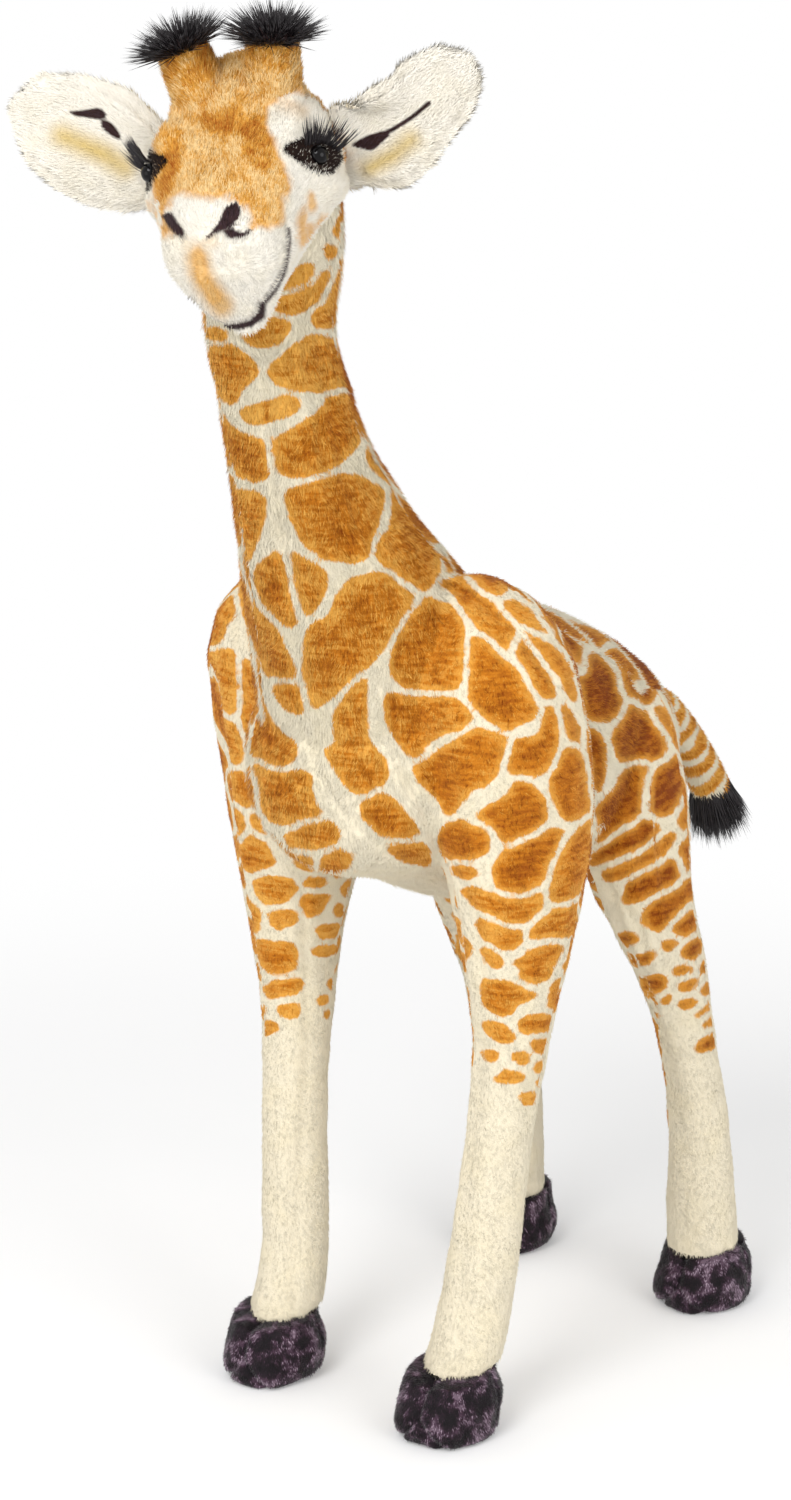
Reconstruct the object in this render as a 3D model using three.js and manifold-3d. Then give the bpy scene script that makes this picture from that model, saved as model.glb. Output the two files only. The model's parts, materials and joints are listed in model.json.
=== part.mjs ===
// A standing plush giraffe calf: stuffed covers over a bent steel wire frame.
// Millimetres, +Z up. The giraffe faces -Y, and its left side is +X.
import * as THREE from "three";
import { mergeVertices } from "three/addons/utils/BufferGeometryUtils.js";
import Module from "manifold-3d";

const wasm = await Module();
wasm.setup();

// Driving sizes of the whole animal
const FRONT_STANCE = 158; // between the centres of the two front hooves
const REAR_STANCE = 182;
const HOOF_SPACING = 300; // front hooves to rear hooves
const BODY_LENGTH = 394;
const BODY_WIDTH = 192;
const BODY_DEPTH = 208;
const BODY_HEIGHT = 460; // middle of the barrel above the floor
const CHEST_REACH = 60; // how far the chest stands ahead of the front hooves
const NECK_HEIGHT = 336; // from inside the chest to the top of the neck
const NECK_WIDTH = 90; // at the throat
const LEG_WIDTH = 48; // at its slimmest, below the knee
const FRONT_LEG_HEIGHT = 600;
const FRONT_LEG_SETBACK = 50; // of the shoulder behind the hoof
const REAR_LEG_HEIGHT = 492;
const REAR_LEG_SETBACK = -62; // the thigh stands ahead of the rear hoof
const HEAD_LENGTH = 174; // back of the skull to the front of the muzzle
const HEAD_WIDTH = 120; // across the cheeks
const HEAD_DEPTH = 100;

// Clearances
const SEAM_GAP = 0.3; // between two covers that are sewn face to face
const WIRE_GAP = 0.4; // between the frame and the stuffing round it
const TURN_GAP = 0.6; // round a root that turns in its pocket
const FLAP_ROOM = 2; // beside a cover that swings past another
const OVERRUN = 4; // by which a cutter passes the face that it cuts

const SAME_PLACE = 0.0001; // corners nearer than this are one corner
const TURN_SIDES = 16; // of a root that turns, and of its pocket

const degrees = THREE.MathUtils.degToRad;
const vector = (x, y, z) => new THREE.Vector3(x, y, z);

// Plush colours
const materials = {
  tan: new THREE.MeshStandardMaterial({ color: 0xc07a2c, roughness: 0.95 }),
  cream: new THREE.MeshStandardMaterial({ color: 0xf0e6cf, roughness: 0.95 }),
  black: new THREE.MeshStandardMaterial({ color: 0x17141a, roughness: 0.8 }),
  hoof: new THREE.MeshStandardMaterial({ color: 0x3a2b35, roughness: 0.55 }),
  bead: new THREE.MeshStandardMaterial({ color: 0x060506, roughness: 0.1 }),
  steel: new THREE.MeshStandardMaterial({ color: 0x8d9298, roughness: 0.4, metalness: 1 }),
  plastic: new THREE.MeshStandardMaterial({ color: 0xd8d4c8, roughness: 0.6 }),
};

// Solids and booleans
function solidOf(geometry) {
  const bare = geometry.clone();
  bare.deleteAttribute("normal");
  bare.deleteAttribute("uv");
  const merged = mergeVertices(bare, SAME_PLACE);
  const corners = [];
  for (let i = 0; i < merged.index.count; i += 3) {
    const [a, b, c] = [0, 1, 2].map((k) => merged.index.getX(i + k));
    if (a !== b && b !== c && c !== a) corners.push(a, b, c);
  }
  const mesh = new wasm.Mesh({
    numProp: 3,
    vertProperties: merged.attributes.position.array,
    triVerts: new Uint32Array(corners),
  });
  return new wasm.Manifold(mesh);
}

function geometryOf(solid) {
  const mesh = solid.getMesh();
  const places = new Float32Array(mesh.numVert * 3);
  for (let i = 0; i < mesh.numVert; i++) {
    const start = i * mesh.numProp;
    places.set(mesh.vertProperties.subarray(start, start + 3), i * 3);
  }
  const geometry = new THREE.BufferGeometry();
  geometry.setAttribute("position", new THREE.BufferAttribute(places, 3));
  geometry.setIndex(new THREE.BufferAttribute(mesh.triVerts, 1));
  geometry.computeVertexNormals();
  return geometry;
}

// The one body that a cut leaves, without the slivers that it shaves off
function largest(solid) {
  const bodies = solid.decompose();
  bodies.sort((a, b) => b.volume() - a.volume());
  return bodies[0];
}

function cut(solid, ...cutters) {
  return largest(cutters.reduce((left, cutter) => left.subtract(cutter), solid));
}

function meshOf(name, solid, material) {
  const mesh = new THREE.Mesh(geometryOf(solid), material);
  mesh.name = name;
  return mesh;
}

// A closed skin over rings of equally many points, with a fan over each end
function skinOver(rings) {
  const sides = rings[0].length;
  const places = rings.flat().flatMap((p) => p.toArray());
  const corners = [];
  for (let r = 0; r + 1 < rings.length; r++) {
    for (let s = 0; s < sides; s++) {
      const next = (s + 1) % sides;
      const [a, b] = [r * sides + s, r * sides + next];
      corners.push(a, b, b + sides, a, b + sides, a + sides);
    }
  }
  const ends = [rings[0], rings[rings.length - 1]];
  ends.forEach((ring, end) => {
    const middle = ring.reduce((sum, p) => sum.add(p), vector(0, 0, 0)).divideScalar(sides);
    const hub = places.length / 3;
    const first = end * (rings.length - 1) * sides;
    places.push(...middle.toArray());
    for (let s = 0; s < sides; s++) {
      const [a, b] = [first + s, first + ((s + 1) % sides)];
      corners.push(...(end ? [a, b, hub] : [b, a, hub]));
    }
  });
  const geometry = new THREE.BufferGeometry();
  geometry.setAttribute("position", new THREE.Float32BufferAttribute(places, 3));
  geometry.setIndex(corners);
  return geometry;
}

// A stuffed form along a line of stations. Each station has its middle, its half-width, its
// half-depths to the front and the back, and may have a twist, an egg share that narrows its
// front, and a cup by which its edges stand back. The bulge grows every section, and the caps
// are the shares of the length that round off at the ends.
function stuffed(stations, { steps, sides, caps = [0, 0], bulge = 0, tall = vector(1, 0, 0) }) {
  const line = new THREE.CatmullRomCurve3(stations.map((s) => s.middle), false, "catmullrom");
  const girth = new THREE.CatmullRomCurve3(
    stations.map((s) => vector(s.wide, s.fore, s.aft)), false, "catmullrom");
  const bends = new THREE.CatmullRomCurve3(
    stations.map((s) => vector(s.twist || 0, s.egg || 0, s.cup || 0)), false, "catmullrom");
  const rings = [];
  const shares = stationShares(steps, caps);
  for (const { share, round } of shares) {
    const middle = line.getPoint(share);
    const way = line.getTangent(share);
    const across = tall.clone().addScaledVector(way, -tall.dot(way)).normalize();
    const bend = bends.getPoint(share);
    across.applyAxisAngle(way, bend.x);
    const front = across.clone().cross(way);
    const size = girth.getPoint(share);
    rings.push(Array.from({ length: sides }, (_, s) => {
      const angle = (-s / sides) * 2 * Math.PI;
      const [side, lean] = [Math.cos(angle), Math.sin(angle)];
      const depth = lean > 0 ? size.y : size.z;
      const breadth = (size.x + bulge) * (1 - bend.y * lean);
      const ahead = lean * (depth + bulge) * round - bend.z * side * side * round * round;
      return middle.clone()
        .addScaledVector(across, side * breadth * round)
        .addScaledVector(front, ahead);
    }));
  }
  return solidOf(skinOver(rings));
}

// Where the rings of a stuffed form lie, and how far each has closed in at a rounded end
function stationShares(steps, [startCap, endCap]) {
  const capSteps = 4;
  const firstStep = 0.35;
  const list = [];
  for (let i = 0; startCap && i < capSteps; i++) {
    const angle = ((i + firstStep) / (capSteps + firstStep)) * (Math.PI / 2);
    list.push({ share: startCap * (1 - Math.cos(angle)), round: Math.sin(angle) });
  }
  for (let i = 0; i <= steps; i++) {
    list.push({ share: startCap + (1 - startCap - endCap) * (i / steps), round: 1 });
  }
  for (let i = capSteps - 1; endCap && i >= 0; i--) {
    const angle = ((i + firstStep) / (capSteps + firstStep)) * (Math.PI / 2);
    list.push({ share: 1 - endCap * (1 - Math.cos(angle)), round: Math.sin(angle) });
  }
  return list;
}

// A round bar bent along points
function bent(points, radius, steps, sides = 8) {
  const path = new THREE.CatmullRomCurve3(points, false, "centripetal");
  const corner = (s) => {
    const angle = (s / sides) * 2 * Math.PI;
    return new THREE.Vector2(Math.cos(angle) * radius, Math.sin(angle) * radius);
  };
  const section = new THREE.Shape(Array.from({ length: sides }, (_, s) => corner(s)));
  const options = { steps, extrudePath: path, bevelEnabled: false };
  return solidOf(new THREE.ExtrudeGeometry(section, options));
}

// A turned form: profile points are [radius, height], on the axis at both ends
function turned(profile, sides) {
  const points = profile.map(([radius, height]) => new THREE.Vector2(radius, height));
  const geometry = new THREE.LatheGeometry(points, sides);
  geometry.rotateX(Math.PI / 2);
  return geometry;
}

// The turned form stood on a base point, with its axis along a direction
function stood(geometry, base, direction) {
  const turn = new THREE.Quaternion().setFromUnitVectors(vector(0, 0, 1), direction);
  return geometry.clone().applyQuaternion(turn).translate(base.x, base.y, base.z);
}

// The barrel of the body, from chest to rump. The back falls away towards the tail.
const bodyShares = [
  // along, height, wide, up, down
  [0.0, 1.05, 0.5, 0.44, 0.5],
  [0.07, 1.035, 0.78, 0.72, 0.74],
  [0.16, 1.02, 0.94, 0.96, 0.8],
  [0.26, 1.01, 1.0, 1.12, 0.88],
  [0.38, 0.995, 1.04, 1.14, 1.0],
  [0.5, 0.985, 1.04, 1.03, 1.03],
  [0.64, 0.975, 1.0, 0.86, 1.01],
  [0.78, 0.95, 0.91, 0.65, 0.94],
  [0.9, 0.915, 0.76, 0.46, 0.72],
  [1.0, 0.88, 0.56, 0.35, 0.48],
];
function bodyForm(bulge) {
  const stations = bodyShares.map(([along, height, wide, up, down]) => ({
    middle: vector(0, along * BODY_LENGTH - CHEST_REACH, height * BODY_HEIGHT),
    wide: (wide * BODY_WIDTH) / 2,
    fore: (up * BODY_DEPTH) / 2,
    aft: (down * BODY_DEPTH) / 2,
  }));
  return stuffed(stations, { steps: 11, sides: 26, caps: [0.12, 0.12], bulge });
}

// The neck leans forward, slims towards the throat and twists to where the head looks
const HEAD_TURN = degrees(23); // towards the giraffe's left
const NECK_FOOT_SETBACK = 16; // of the foot of the neck behind the front hooves
const NECK_LEAN = 103; // how far the throat stands ahead of the foot of the neck
const neckFoot = vector(0, NECK_FOOT_SETBACK, BODY_HEIGHT + BODY_DEPTH / 4);
const neckShares = [
  // up, lean, wide, fore, aft, twist
  [0.0, 0.0, 1.84, 1.72, 1.8, 0.0],
  [0.14, 0.12, 1.78, 1.66, 1.76, 0.2],
  [0.29, 0.36, 1.5, 1.52, 1.6, 0.4],
  [0.45, 0.63, 1.2, 1.24, 1.28, 0.6],
  [0.61, 0.83, 1.08, 1.04, 1.06, 0.8],
  [0.75, 0.96, 1.03, 0.98, 0.98, 1.0],
  [0.86, 1.0, 1.0, 1.0, 1.0, 1.0],
  [1.0, 1.0, 1.0, 1.0, 0.96, 1.0],
];
const neckLine = neckShares.map(([up, lean]) =>
  neckFoot.clone().add(vector(0, -lean * NECK_LEAN, up * NECK_HEIGHT)));
const neckTop = neckLine.at(-1);
function neckForm(bulge) {
  const stations = neckShares.map(([, , wide, fore, aft, twist], i) => ({
    middle: neckLine[i],
    wide: (wide * NECK_WIDTH) / 2,
    fore: (fore * NECK_WIDTH) / 2,
    aft: (aft * NECK_WIDTH) / 2,
    twist: twist * HEAD_TURN,
  }));
  return stuffed(stations, { steps: 12, sides: 20, caps: [0, 0.08], bulge });
}

// Legs: a broad shoulder or thigh, a slim shin, and a fetlock that widens to the hoof
const frontLegShares = [
  // up, out, back, wide, fore, aft
  [0.05, 1.0, 0.1, 1.16, 1.16, 1.16],
  [0.13, 1.03, 0.45, 1.06, 1.06, 1.06],
  [0.21, 1.08, 0.6, 1.0, 1.0, 1.0],
  [0.33, 1.14, 0.72, 0.99, 1.0, 1.0],
  [0.42, 1.18, 0.84, 1.05, 1.1, 1.1],
  [0.5, 1.21, 0.9, 1.22, 1.38, 1.38],
  [0.57, 1.22, 0.94, 1.48, 1.78, 1.82],
  [0.66, 1.2, 1.0, 1.86, 2.36, 2.4],
  [0.76, 1.14, 0.96, 2.22, 2.76, 2.64],
  [0.88, 1.08, 0.7, 2.4, 2.74, 2.36],
  [1.0, 0.94, 0.5, 1.8, 2.1, 1.8],
];
const rearLegShares = [
  [0.06, 1.0, 0.05, 1.16, 1.16, 1.2],
  [0.15, 0.98, 0.08, 1.08, 1.06, 1.12],
  [0.25, 0.96, 0.14, 1.04, 1.02, 1.08],
  [0.35, 0.94, 0.28, 1.0, 1.02, 1.06],
  [0.46, 0.92, 0.5, 1.02, 1.1, 1.12],
  [0.56, 0.9, 0.78, 1.14, 1.42, 1.46],
  [0.66, 0.86, 1.0, 1.38, 2.06, 1.96],
  [0.77, 0.8, 1.1, 1.62, 2.54, 2.3],
  [0.89, 0.7, 1.16, 1.66, 2.54, 2.2],
  [1.0, 0.56, 1.1, 1.3, 2.0, 1.7],
];
const frontLeg = {
  hoof: vector(FRONT_STANCE / 2, 0, 0),
  height: FRONT_LEG_HEIGHT,
  setback: FRONT_LEG_SETBACK,
  shares: frontLegShares,
};
const rearLeg = {
  hoof: vector(REAR_STANCE / 2, HOOF_SPACING, 0),
  height: REAR_LEG_HEIGHT,
  setback: REAR_LEG_SETBACK,
  shares: rearLegShares,
};
function legForm({ hoof, height, setback, shares }, side, bulge) {
  const stations = shares.map(([up, out, back, wide, fore, aft]) => ({
    middle: vector(side * out * hoof.x, hoof.y + back * setback, up * height),
    wide: (wide * LEG_WIDTH) / 2,
    fore: (fore * LEG_WIDTH) / 2,
    aft: (aft * LEG_WIDTH) / 2,
  }));
  return stuffed(stations, { steps: 14, sides: 14, caps: [0, 0.1], bulge });
}

// Hooves: velour cups that flare to a flat sole, with a seam down the front of the toe
const HOOF_WIDTH = 69;
const HOOF_LENGTH = 72;
const HOOF_HEIGHT = 50;
const HOOF_TOP_SLOPE = 10; // by which the top seam drops from heel to toe
const hoofShares = [
  // up, wide, fore, aft
  [0.0, 0.86, 0.86, 0.86],
  [0.1, 0.96, 0.96, 0.96],
  [0.3, 1.0, 1.0, 1.0],
  [0.6, 0.97, 0.96, 0.96],
  [0.85, 0.87, 0.84, 0.9],
  [1.1, 0.8, 0.76, 0.84],
];
function hoofForm(hoof, side, bulge) {
  const stations = hoofShares.map(([up, wide, fore, aft]) => ({
    middle: vector(side * hoof.x, hoof.y, up * HOOF_HEIGHT),
    wide: (wide * HOOF_WIDTH) / 2,
    fore: (fore * HOOF_LENGTH) / 2,
    aft: (aft * HOOF_LENGTH) / 2,
  }));
  return stuffed(stations, { steps: 6, sides: 16, bulge });
}
// Everything above the sloping seam where the hoof is sewn to the leg
function aboveHoof(hoof, side, gap) {
  const block = new THREE.BoxGeometry(2 * HOOF_LENGTH, 2 * HOOF_LENGTH, 2 * HOOF_LENGTH);
  block.translate(0, 0, HOOF_LENGTH);
  block.rotateX(Math.atan(HOOF_TOP_SLOPE / HOOF_LENGTH));
  block.translate(side * hoof.x, hoof.y, HOOF_HEIGHT - HOOF_TOP_SLOPE / 2 + gap);
  return solidOf(block);
}

// Everything under the sloping seam, with the seam gap, which the hoof takes from the leg
function belowLeg(hoof, side) {
  const block = new THREE.BoxGeometry(2 * HOOF_LENGTH, 2 * HOOF_LENGTH, 2 * HOOF_LENGTH);
  block.translate(0, 0, -HOOF_LENGTH);
  block.rotateX(Math.atan(HOOF_TOP_SLOPE / HOOF_LENGTH));
  block.translate(side * hoof.x, hoof.y, HOOF_HEIGHT - HOOF_TOP_SLOPE / 2 + SEAM_GAP);
  return solidOf(block);
}

// The frame: one wire from the rump to the head, and a hoop through each pair of legs
const WIRE_RADIUS = 2.5;
const WIRE_SIDES = 6;
const CHANNEL_RADIUS = (WIRE_RADIUS + WIRE_GAP) / Math.cos(Math.PI / WIRE_SIDES);
const WIRE_IN_HEAD = 34; // how far the spine wire stands up into the head
const SPINE_END_INSET = 62; // from the end of the wire to the end of the rump
const HOOP_DROP = 9; // of a hoop's wire under the spine wire
const CLAMP_WIDTH = 18;
const CLAMP_LENGTH = 16;
const CLAMP_WALL = 3; // over and under the wires
const SPINE_HEIGHT = BODY_HEIGHT + BODY_DEPTH / 10;
const FRONT_HOOP_PLACE = FRONT_LEG_SETBACK;
const REAR_HOOP_PLACE = HOOF_SPACING + REAR_LEG_SETBACK;
const spineEnd = vector(0, BODY_LENGTH - CHEST_REACH - SPINE_END_INSET, SPINE_HEIGHT);
const wireTop = neckTop.clone().add(vector(0, 0, WIRE_IN_HEAD));
function spineLine(extra) {
  const level = [
    REAR_HOOP_PLACE + CLAMP_LENGTH,
    REAR_HOOP_PLACE - CLAMP_LENGTH,
    (FRONT_HOOP_PLACE + REAR_HOOP_PLACE) / 2,
    FRONT_HOOP_PLACE + CLAMP_LENGTH,
    FRONT_HOOP_PLACE - CLAMP_LENGTH,
    FRONT_HOOP_PLACE - 2 * CLAMP_LENGTH,
  ].map((along) => vector(0, along, SPINE_HEIGHT));
  const end = spineEnd.clone().add(vector(0, extra, 0));
  const top = wireTop.clone().add(vector(0, 0, extra));
  return [end, ...level, ...neckLine.slice(2), top];
}
function hoopLine({ hoof, height, setback, shares }, place, extra) {
  const up = shares.slice(0, -3).map(([rise, out, back]) =>
    vector(out * hoof.x, hoof.y + back * setback, rise * height));
  const crossing = SPINE_HEIGHT - HOOP_DROP;
  const foot = vector(hoof.x, hoof.y, DISC_HEIGHT + DISC_THICKNESS + SEAM_GAP - extra);
  const lead = foot.clone().add(vector(0, 0, HOOF_HEIGHT / 3));
  const across = [0.6, 0.3, 0].map((share) => vector(share * hoof.x, place, crossing));
  const left = [foot, lead, ...up, ...across];
  const right = left.slice(0, -1).reverse().map((p) => vector(-p.x, p.y, p.z));
  return [...left, ...right];
}
function spineBar(radius, extra) {
  return bent(spineLine(extra), radius, 28, WIRE_SIDES);
}
function hoopBar(leg, place, radius, extra) {
  return bent(hoopLine(leg, place, extra), radius, 40, WIRE_SIDES);
}

// Stiff boards that keep the soles flat, each under the end of a hoop
const DISC_RADIUS = 21;
const DISC_THICKNESS = 3;
const DISC_HEIGHT = 5; // of its underside above the floor
const DISC_SIDES = 16;
function soleBoard(hoof, side, bulge) {
  const radius = DISC_RADIUS + bulge;
  const profile = [[0, -bulge], [radius, -bulge]];
  profile.push([radius, DISC_THICKNESS + bulge], [0, DISC_THICKNESS + bulge]);
  const board = turned(profile, DISC_SIDES);
  board.translate(side * hoof.x, hoof.y, DISC_HEIGHT);
  return solidOf(board);
}

// Crimped blocks that hold each hoop under the spine wire
function clampBlock(place, bulge) {
  const height = HOOP_DROP + 2 * (WIRE_RADIUS + CLAMP_WALL);
  const block = new THREE.BoxGeometry(
    CLAMP_WIDTH + 2 * bulge, CLAMP_LENGTH + 2 * bulge, height + 2 * bulge);
  block.translate(0, place, SPINE_HEIGHT - HOOP_DROP / 2);
  return solidOf(block);
}

// Tail: a striped tube on a round root that swings in the rump, with a black tuft
const TAIL_WIDTH = 23;
const TAIL_LENGTH = 110; // root to the end of the tube
const TAIL_ROOT_RADIUS = 15;
const TAIL_ROOT_INSET = 5; // of the root's middle from the end of the rump
const TAIL_ROOT_DROP = 14; // below the middle of the barrel
const TAIL_TUFT_RADIUS = 11;
const TAIL_TUFT_DEPTH = 6;
const TAIL_TUFT_REACH = 50;
const TAIL_TUFT_SPREAD = degrees(24);
const tailRoot = vector(
  0, BODY_LENGTH - CHEST_REACH - TAIL_ROOT_INSET, BODY_HEIGHT - TAIL_ROOT_DROP);
const tailShares = [
  // back, down, wide
  [0.0, 0.0, 0.96],
  [0.22, 0.08, 0.94],
  [0.45, 0.26, 0.94],
  [0.66, 0.48, 0.98],
  [0.82, 0.68, 1.06],
  [0.92, 0.82, 1.06],
];
function tailLine() {
  return tailShares.map(([back, down]) =>
    tailRoot.clone().add(vector(0, back * TAIL_LENGTH, -down * TAIL_LENGTH)));
}
function tailForm(bulge) {
  const line = tailLine();
  const stations = tailShares.map(([, , wide], i) => ({
    middle: line[i],
    wide: (wide * TAIL_WIDTH) / 2,
    fore: (wide * TAIL_WIDTH) / 2,
    aft: (wide * TAIL_WIDTH) / 2,
  }));
  const tube = stuffed(stations, { steps: 9, sides: 12, bulge });
  return tube.add(rootBall(bulge));
}
function rootBall(bulge) {
  const ball = new THREE.SphereGeometry(TAIL_ROOT_RADIUS + bulge, TURN_SIDES, TURN_SIDES / 2);
  ball.rotateX(Math.PI / 2);
  ball.translate(tailRoot.x, tailRoot.y, tailRoot.z);
  return solidOf(ball);
}

// Hair: locks on a round backing, each leaning out where it stands, so none cross
const LOCK_WIDTH = 4.4;
const LOCK_SINK = 1; // of a lock's foot into its backing
const LOCK_RINGS = 3;
function hairTuft({ backing, depth, reach, spread, evenness, inner }) {
  const rim = 0.86 * backing; // the outermost locks stand a little inside the edge
  let tuft = solidOf(turned([[0, 0], [backing, 0], [backing, depth], [0, depth]], 12));
  for (let ring = 0; ring < LOCK_RINGS; ring++) {
    const share = (ring + 0.35) / (LOCK_RINGS - 0.65);
    const count = Math.max(3, Math.floor((2 * Math.PI * share * rim) / LOCK_WIDTH));
    for (let k = 0; k < count; k++) {
      const angle = ((k + (ring % 2) / 2) / count) * 2 * Math.PI;
      const out = vector(Math.cos(angle), Math.sin(angle), 0);
      const tilt = share * spread;
      const way = out.clone().multiplyScalar(Math.sin(tilt)).add(vector(0, 0, Math.cos(tilt)));
      const foot = out.clone().multiplyScalar(share * rim);
      foot.z = depth - LOCK_SINK;
      const uneven = evenness + (1 - evenness) * Math.cos(k * 2.4 + ring * 1.7);
      const length = reach * uneven * (inner + (1 - inner) * share);
      const lock = new THREE.ConeGeometry(LOCK_WIDTH / 2, length, 4);
      lock.translate(0, length / 2, 0);
      lock.rotateX(Math.PI / 2);
      tuft = tuft.add(solidOf(stood(lock, foot, way)));
    }
  }
  return geometryOf(tuft);
}

// Head, in its own frame: it looks along -Y with the crown up, from the middle of the skull
const HEAD_NOD = degrees(35);
const HEAD_ROLL = degrees(7);
const HEAD_SIDE_OFFSET = 9; // of the middle of the skull from the middle plane
const HEAD_REACH = 36; // of the middle of the skull ahead of the throat
const HEAD_RISE = 32; // of the middle of the skull above the top of the neck
const headShares = [
  // forward, rise, wide, down, up, narrower towards the chin
  [-0.36, 0.04, 0.62, 0.7, 0.66, 0.05],
  [-0.23, 0.02, 0.88, 0.9, 0.82, 0.06],
  [-0.08, 0.0, 1.0, 1.0, 0.84, 0.08],
  [0.06, -0.04, 1.02, 1.02, 0.8, 0.1],
  [0.19, -0.08, 0.91, 1.04, 0.8, 0.14],
  [0.3, -0.12, 0.75, 1.04, 0.84, 0.2],
  [0.41, -0.15, 0.64, 1.0, 0.86, 0.28],
  [0.51, -0.18, 0.57, 0.96, 0.78, 0.34],
  [0.58, -0.2, 0.46, 0.84, 0.58, 0.32],
];
function headForm(bulge) {
  const stations = headShares.map(([forward, rise, wide, down, up, egg]) => ({
    middle: vector(0, -forward * HEAD_LENGTH, rise * HEAD_DEPTH),
    wide: (wide * HEAD_WIDTH) / 2,
    fore: (down * HEAD_DEPTH) / 2,
    aft: (up * HEAD_DEPTH) / 2,
    egg,
  }));
  return stuffed(stations, { steps: 12, sides: 20, caps: [0.1, 0.08], bulge });
}
const BROW_RADIUS = 19;
const browPlace = vector(0.32 * HEAD_WIDTH, -0.05 * HEAD_LENGTH, 0.19 * HEAD_DEPTH);
function browBump(side) {
  const bump = new THREE.SphereGeometry(BROW_RADIUS, 12, 8);
  bump.translate(side * browPlace.x, browPlace.y, browPlace.z);
  return solidOf(bump);
}

// Ears: cupped leaves on a rolled root that flaps in the head, with a lining let into the face
const EAR_LENGTH = 118;
const EAR_WIDTH = 86;
const EAR_THICKNESS = 15;
const EAR_CUP = 9; // by which the edges stand ahead of the middle
const EAR_FLAP = degrees(18);
const EAR_ROOT_RADIUS = 9;
const EAR_ROOT_LENGTH = 26;
const LINING_INSET = 8; // of the lining from the edge of the ear
const LINING_THICKNESS = 6;
const LINING_PROUD = 1.2; // of the lining over the face of the ear
const earRoot = vector(0.45 * HEAD_WIDTH, 0.07 * HEAD_LENGTH, -0.19 * HEAD_DEPTH);
const earWay = vector(0.9, 0.05, 0.46).normalize();
const earAcross = vector(0, 0.42, 0.91).projectOnPlane(earWay).normalize();
const earBack = earAcross.clone().cross(earWay);
const earShares = [
  // along, wide, thick, cup
  [0.0, 0.4, 1.1, 0.2],
  [0.12, 0.68, 1.1, 0.6],
  [0.3, 0.97, 1.05, 1.0],
  [0.52, 1.0, 0.95, 1.0],
  [0.75, 0.83, 0.85, 0.8],
  [0.92, 0.52, 0.75, 0.5],
];
function earLeaf({ shares, inset, lift, thickness, bulge }) {
  const stations = shares.map(([along, wide, thick, cup]) => ({
    middle: earRoot.clone().addScaledVector(earWay, along * EAR_LENGTH)
      .addScaledVector(earBack, -lift * thick),
    wide: (wide * EAR_WIDTH) / 2 - inset,
    fore: (thick * thickness) / 2,
    aft: (thick * thickness) / 2,
    cup: cup * EAR_CUP,
  }));
  return stuffed(stations, { steps: 6, sides: 12, caps: [0, 0.16], bulge, tall: earAcross });
}
function earRoll(bulge) {
  const roll = new THREE.CapsuleGeometry(EAR_ROOT_RADIUS + bulge, EAR_ROOT_LENGTH, 2, TURN_SIDES);
  roll.rotateX(Math.PI / 2);
  return solidOf(stood(roll, earRoot, earAcross));
}
function earForm() {
  return earLeaf({ shares: earShares, inset: 0, lift: 0, thickness: EAR_THICKNESS, bulge: 0 })
    .add(earRoll(0));
}
// The wedge of room that the leaf needs beside the head as it flaps
function earRoom() {
  const reach = EAR_LENGTH / 3;
  const open = reach * Math.tan(EAR_FLAP);
  const back = 0.6 * EAR_THICKNESS + FLAP_ROOM;
  const face = back + EAR_CUP + LINING_PROUD;
  const outline = new THREE.Shape([
    new THREE.Vector2(0, -face), new THREE.Vector2(reach, -face - open),
    new THREE.Vector2(reach, back + open), new THREE.Vector2(0, back),
  ]);
  const wedge = new THREE.ExtrudeGeometry(outline, { depth: EAR_WIDTH, bevelEnabled: false });
  wedge.translate(0, 0, -EAR_WIDTH / 2);
  const frame = new THREE.Matrix4().makeBasis(earWay, earBack, earWay.clone().cross(earBack));
  return solidOf(wedge.applyMatrix4(frame.setPosition(earRoot)));
}
function liningForm(bulge) {
  const lift = (EAR_THICKNESS - LINING_THICKNESS) / 2 + LINING_PROUD;
  const shares = earShares.slice(1);
  return earLeaf({ shares, inset: LINING_INSET, lift, thickness: LINING_THICKNESS, bulge });
}

// Horns: stubby padded pegs on the crown
const HORN_RADIUS = 17;
const HORN_HEIGHT = 33;
const hornFoot = vector(0.25 * HEAD_WIDTH, 0.13 * HEAD_LENGTH, 0.3 * HEAD_DEPTH);
const hornWay = vector(0.2, 0.34, 0.92).normalize();
const HORN_TUFT_RADIUS = 13.5;
const HORN_TUFT_DEPTH = 4;
const HORN_TUFT_REACH = 29;
const HORN_TUFT_SPREAD = degrees(95);
const hornShares = [
  // radius, height
  [0, 0], [1.1, 0], [1.02, 0.35], [0.96, 0.7], [0.9, 0.86], [0.7, 0.97], [0, 1],
];
function hornForm(bulge) {
  const profile = hornShares.map(([radius, height]) =>
    [radius * HORN_RADIUS + (radius && bulge), height * HORN_HEIGHT + (height && bulge)]);
  return solidOf(stood(turned(profile, 14), hornFoot, hornWay));
}

// Eyes: a glossy bead on a stem, a black plush surround, and a lock washer behind the cover
const EYE_RADIUS = 9;
const EYE_SHOW = 2; // of the lashes' seam ahead of the bead's middle
const STEM_RADIUS = 2;
const STEM_LENGTH = 20;
const WASHER_RADIUS = 8;
const WASHER_THICKNESS = 1.6;
const WASHER_DEPTH = 15; // behind the middle of the bead
const PATCH_LENGTH = 38;
const PATCH_HEIGHT = 30;
const PATCH_THICKNESS = 12;
const eyePlace = vector(0.45 * HEAD_WIDTH, -0.13 * HEAD_LENGTH, 0.1 * HEAD_DEPTH);
const eyeWay = vector(0.88, -0.42, 0.2).normalize();
const eyeUp = vector(0, 0, 1).projectOnPlane(eyeWay).normalize();
const eyeAlong = eyeUp.clone().cross(eyeWay);
function eyePiece(geometry) {
  return solidOf(stood(geometry, eyePlace, eyeWay));
}
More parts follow.
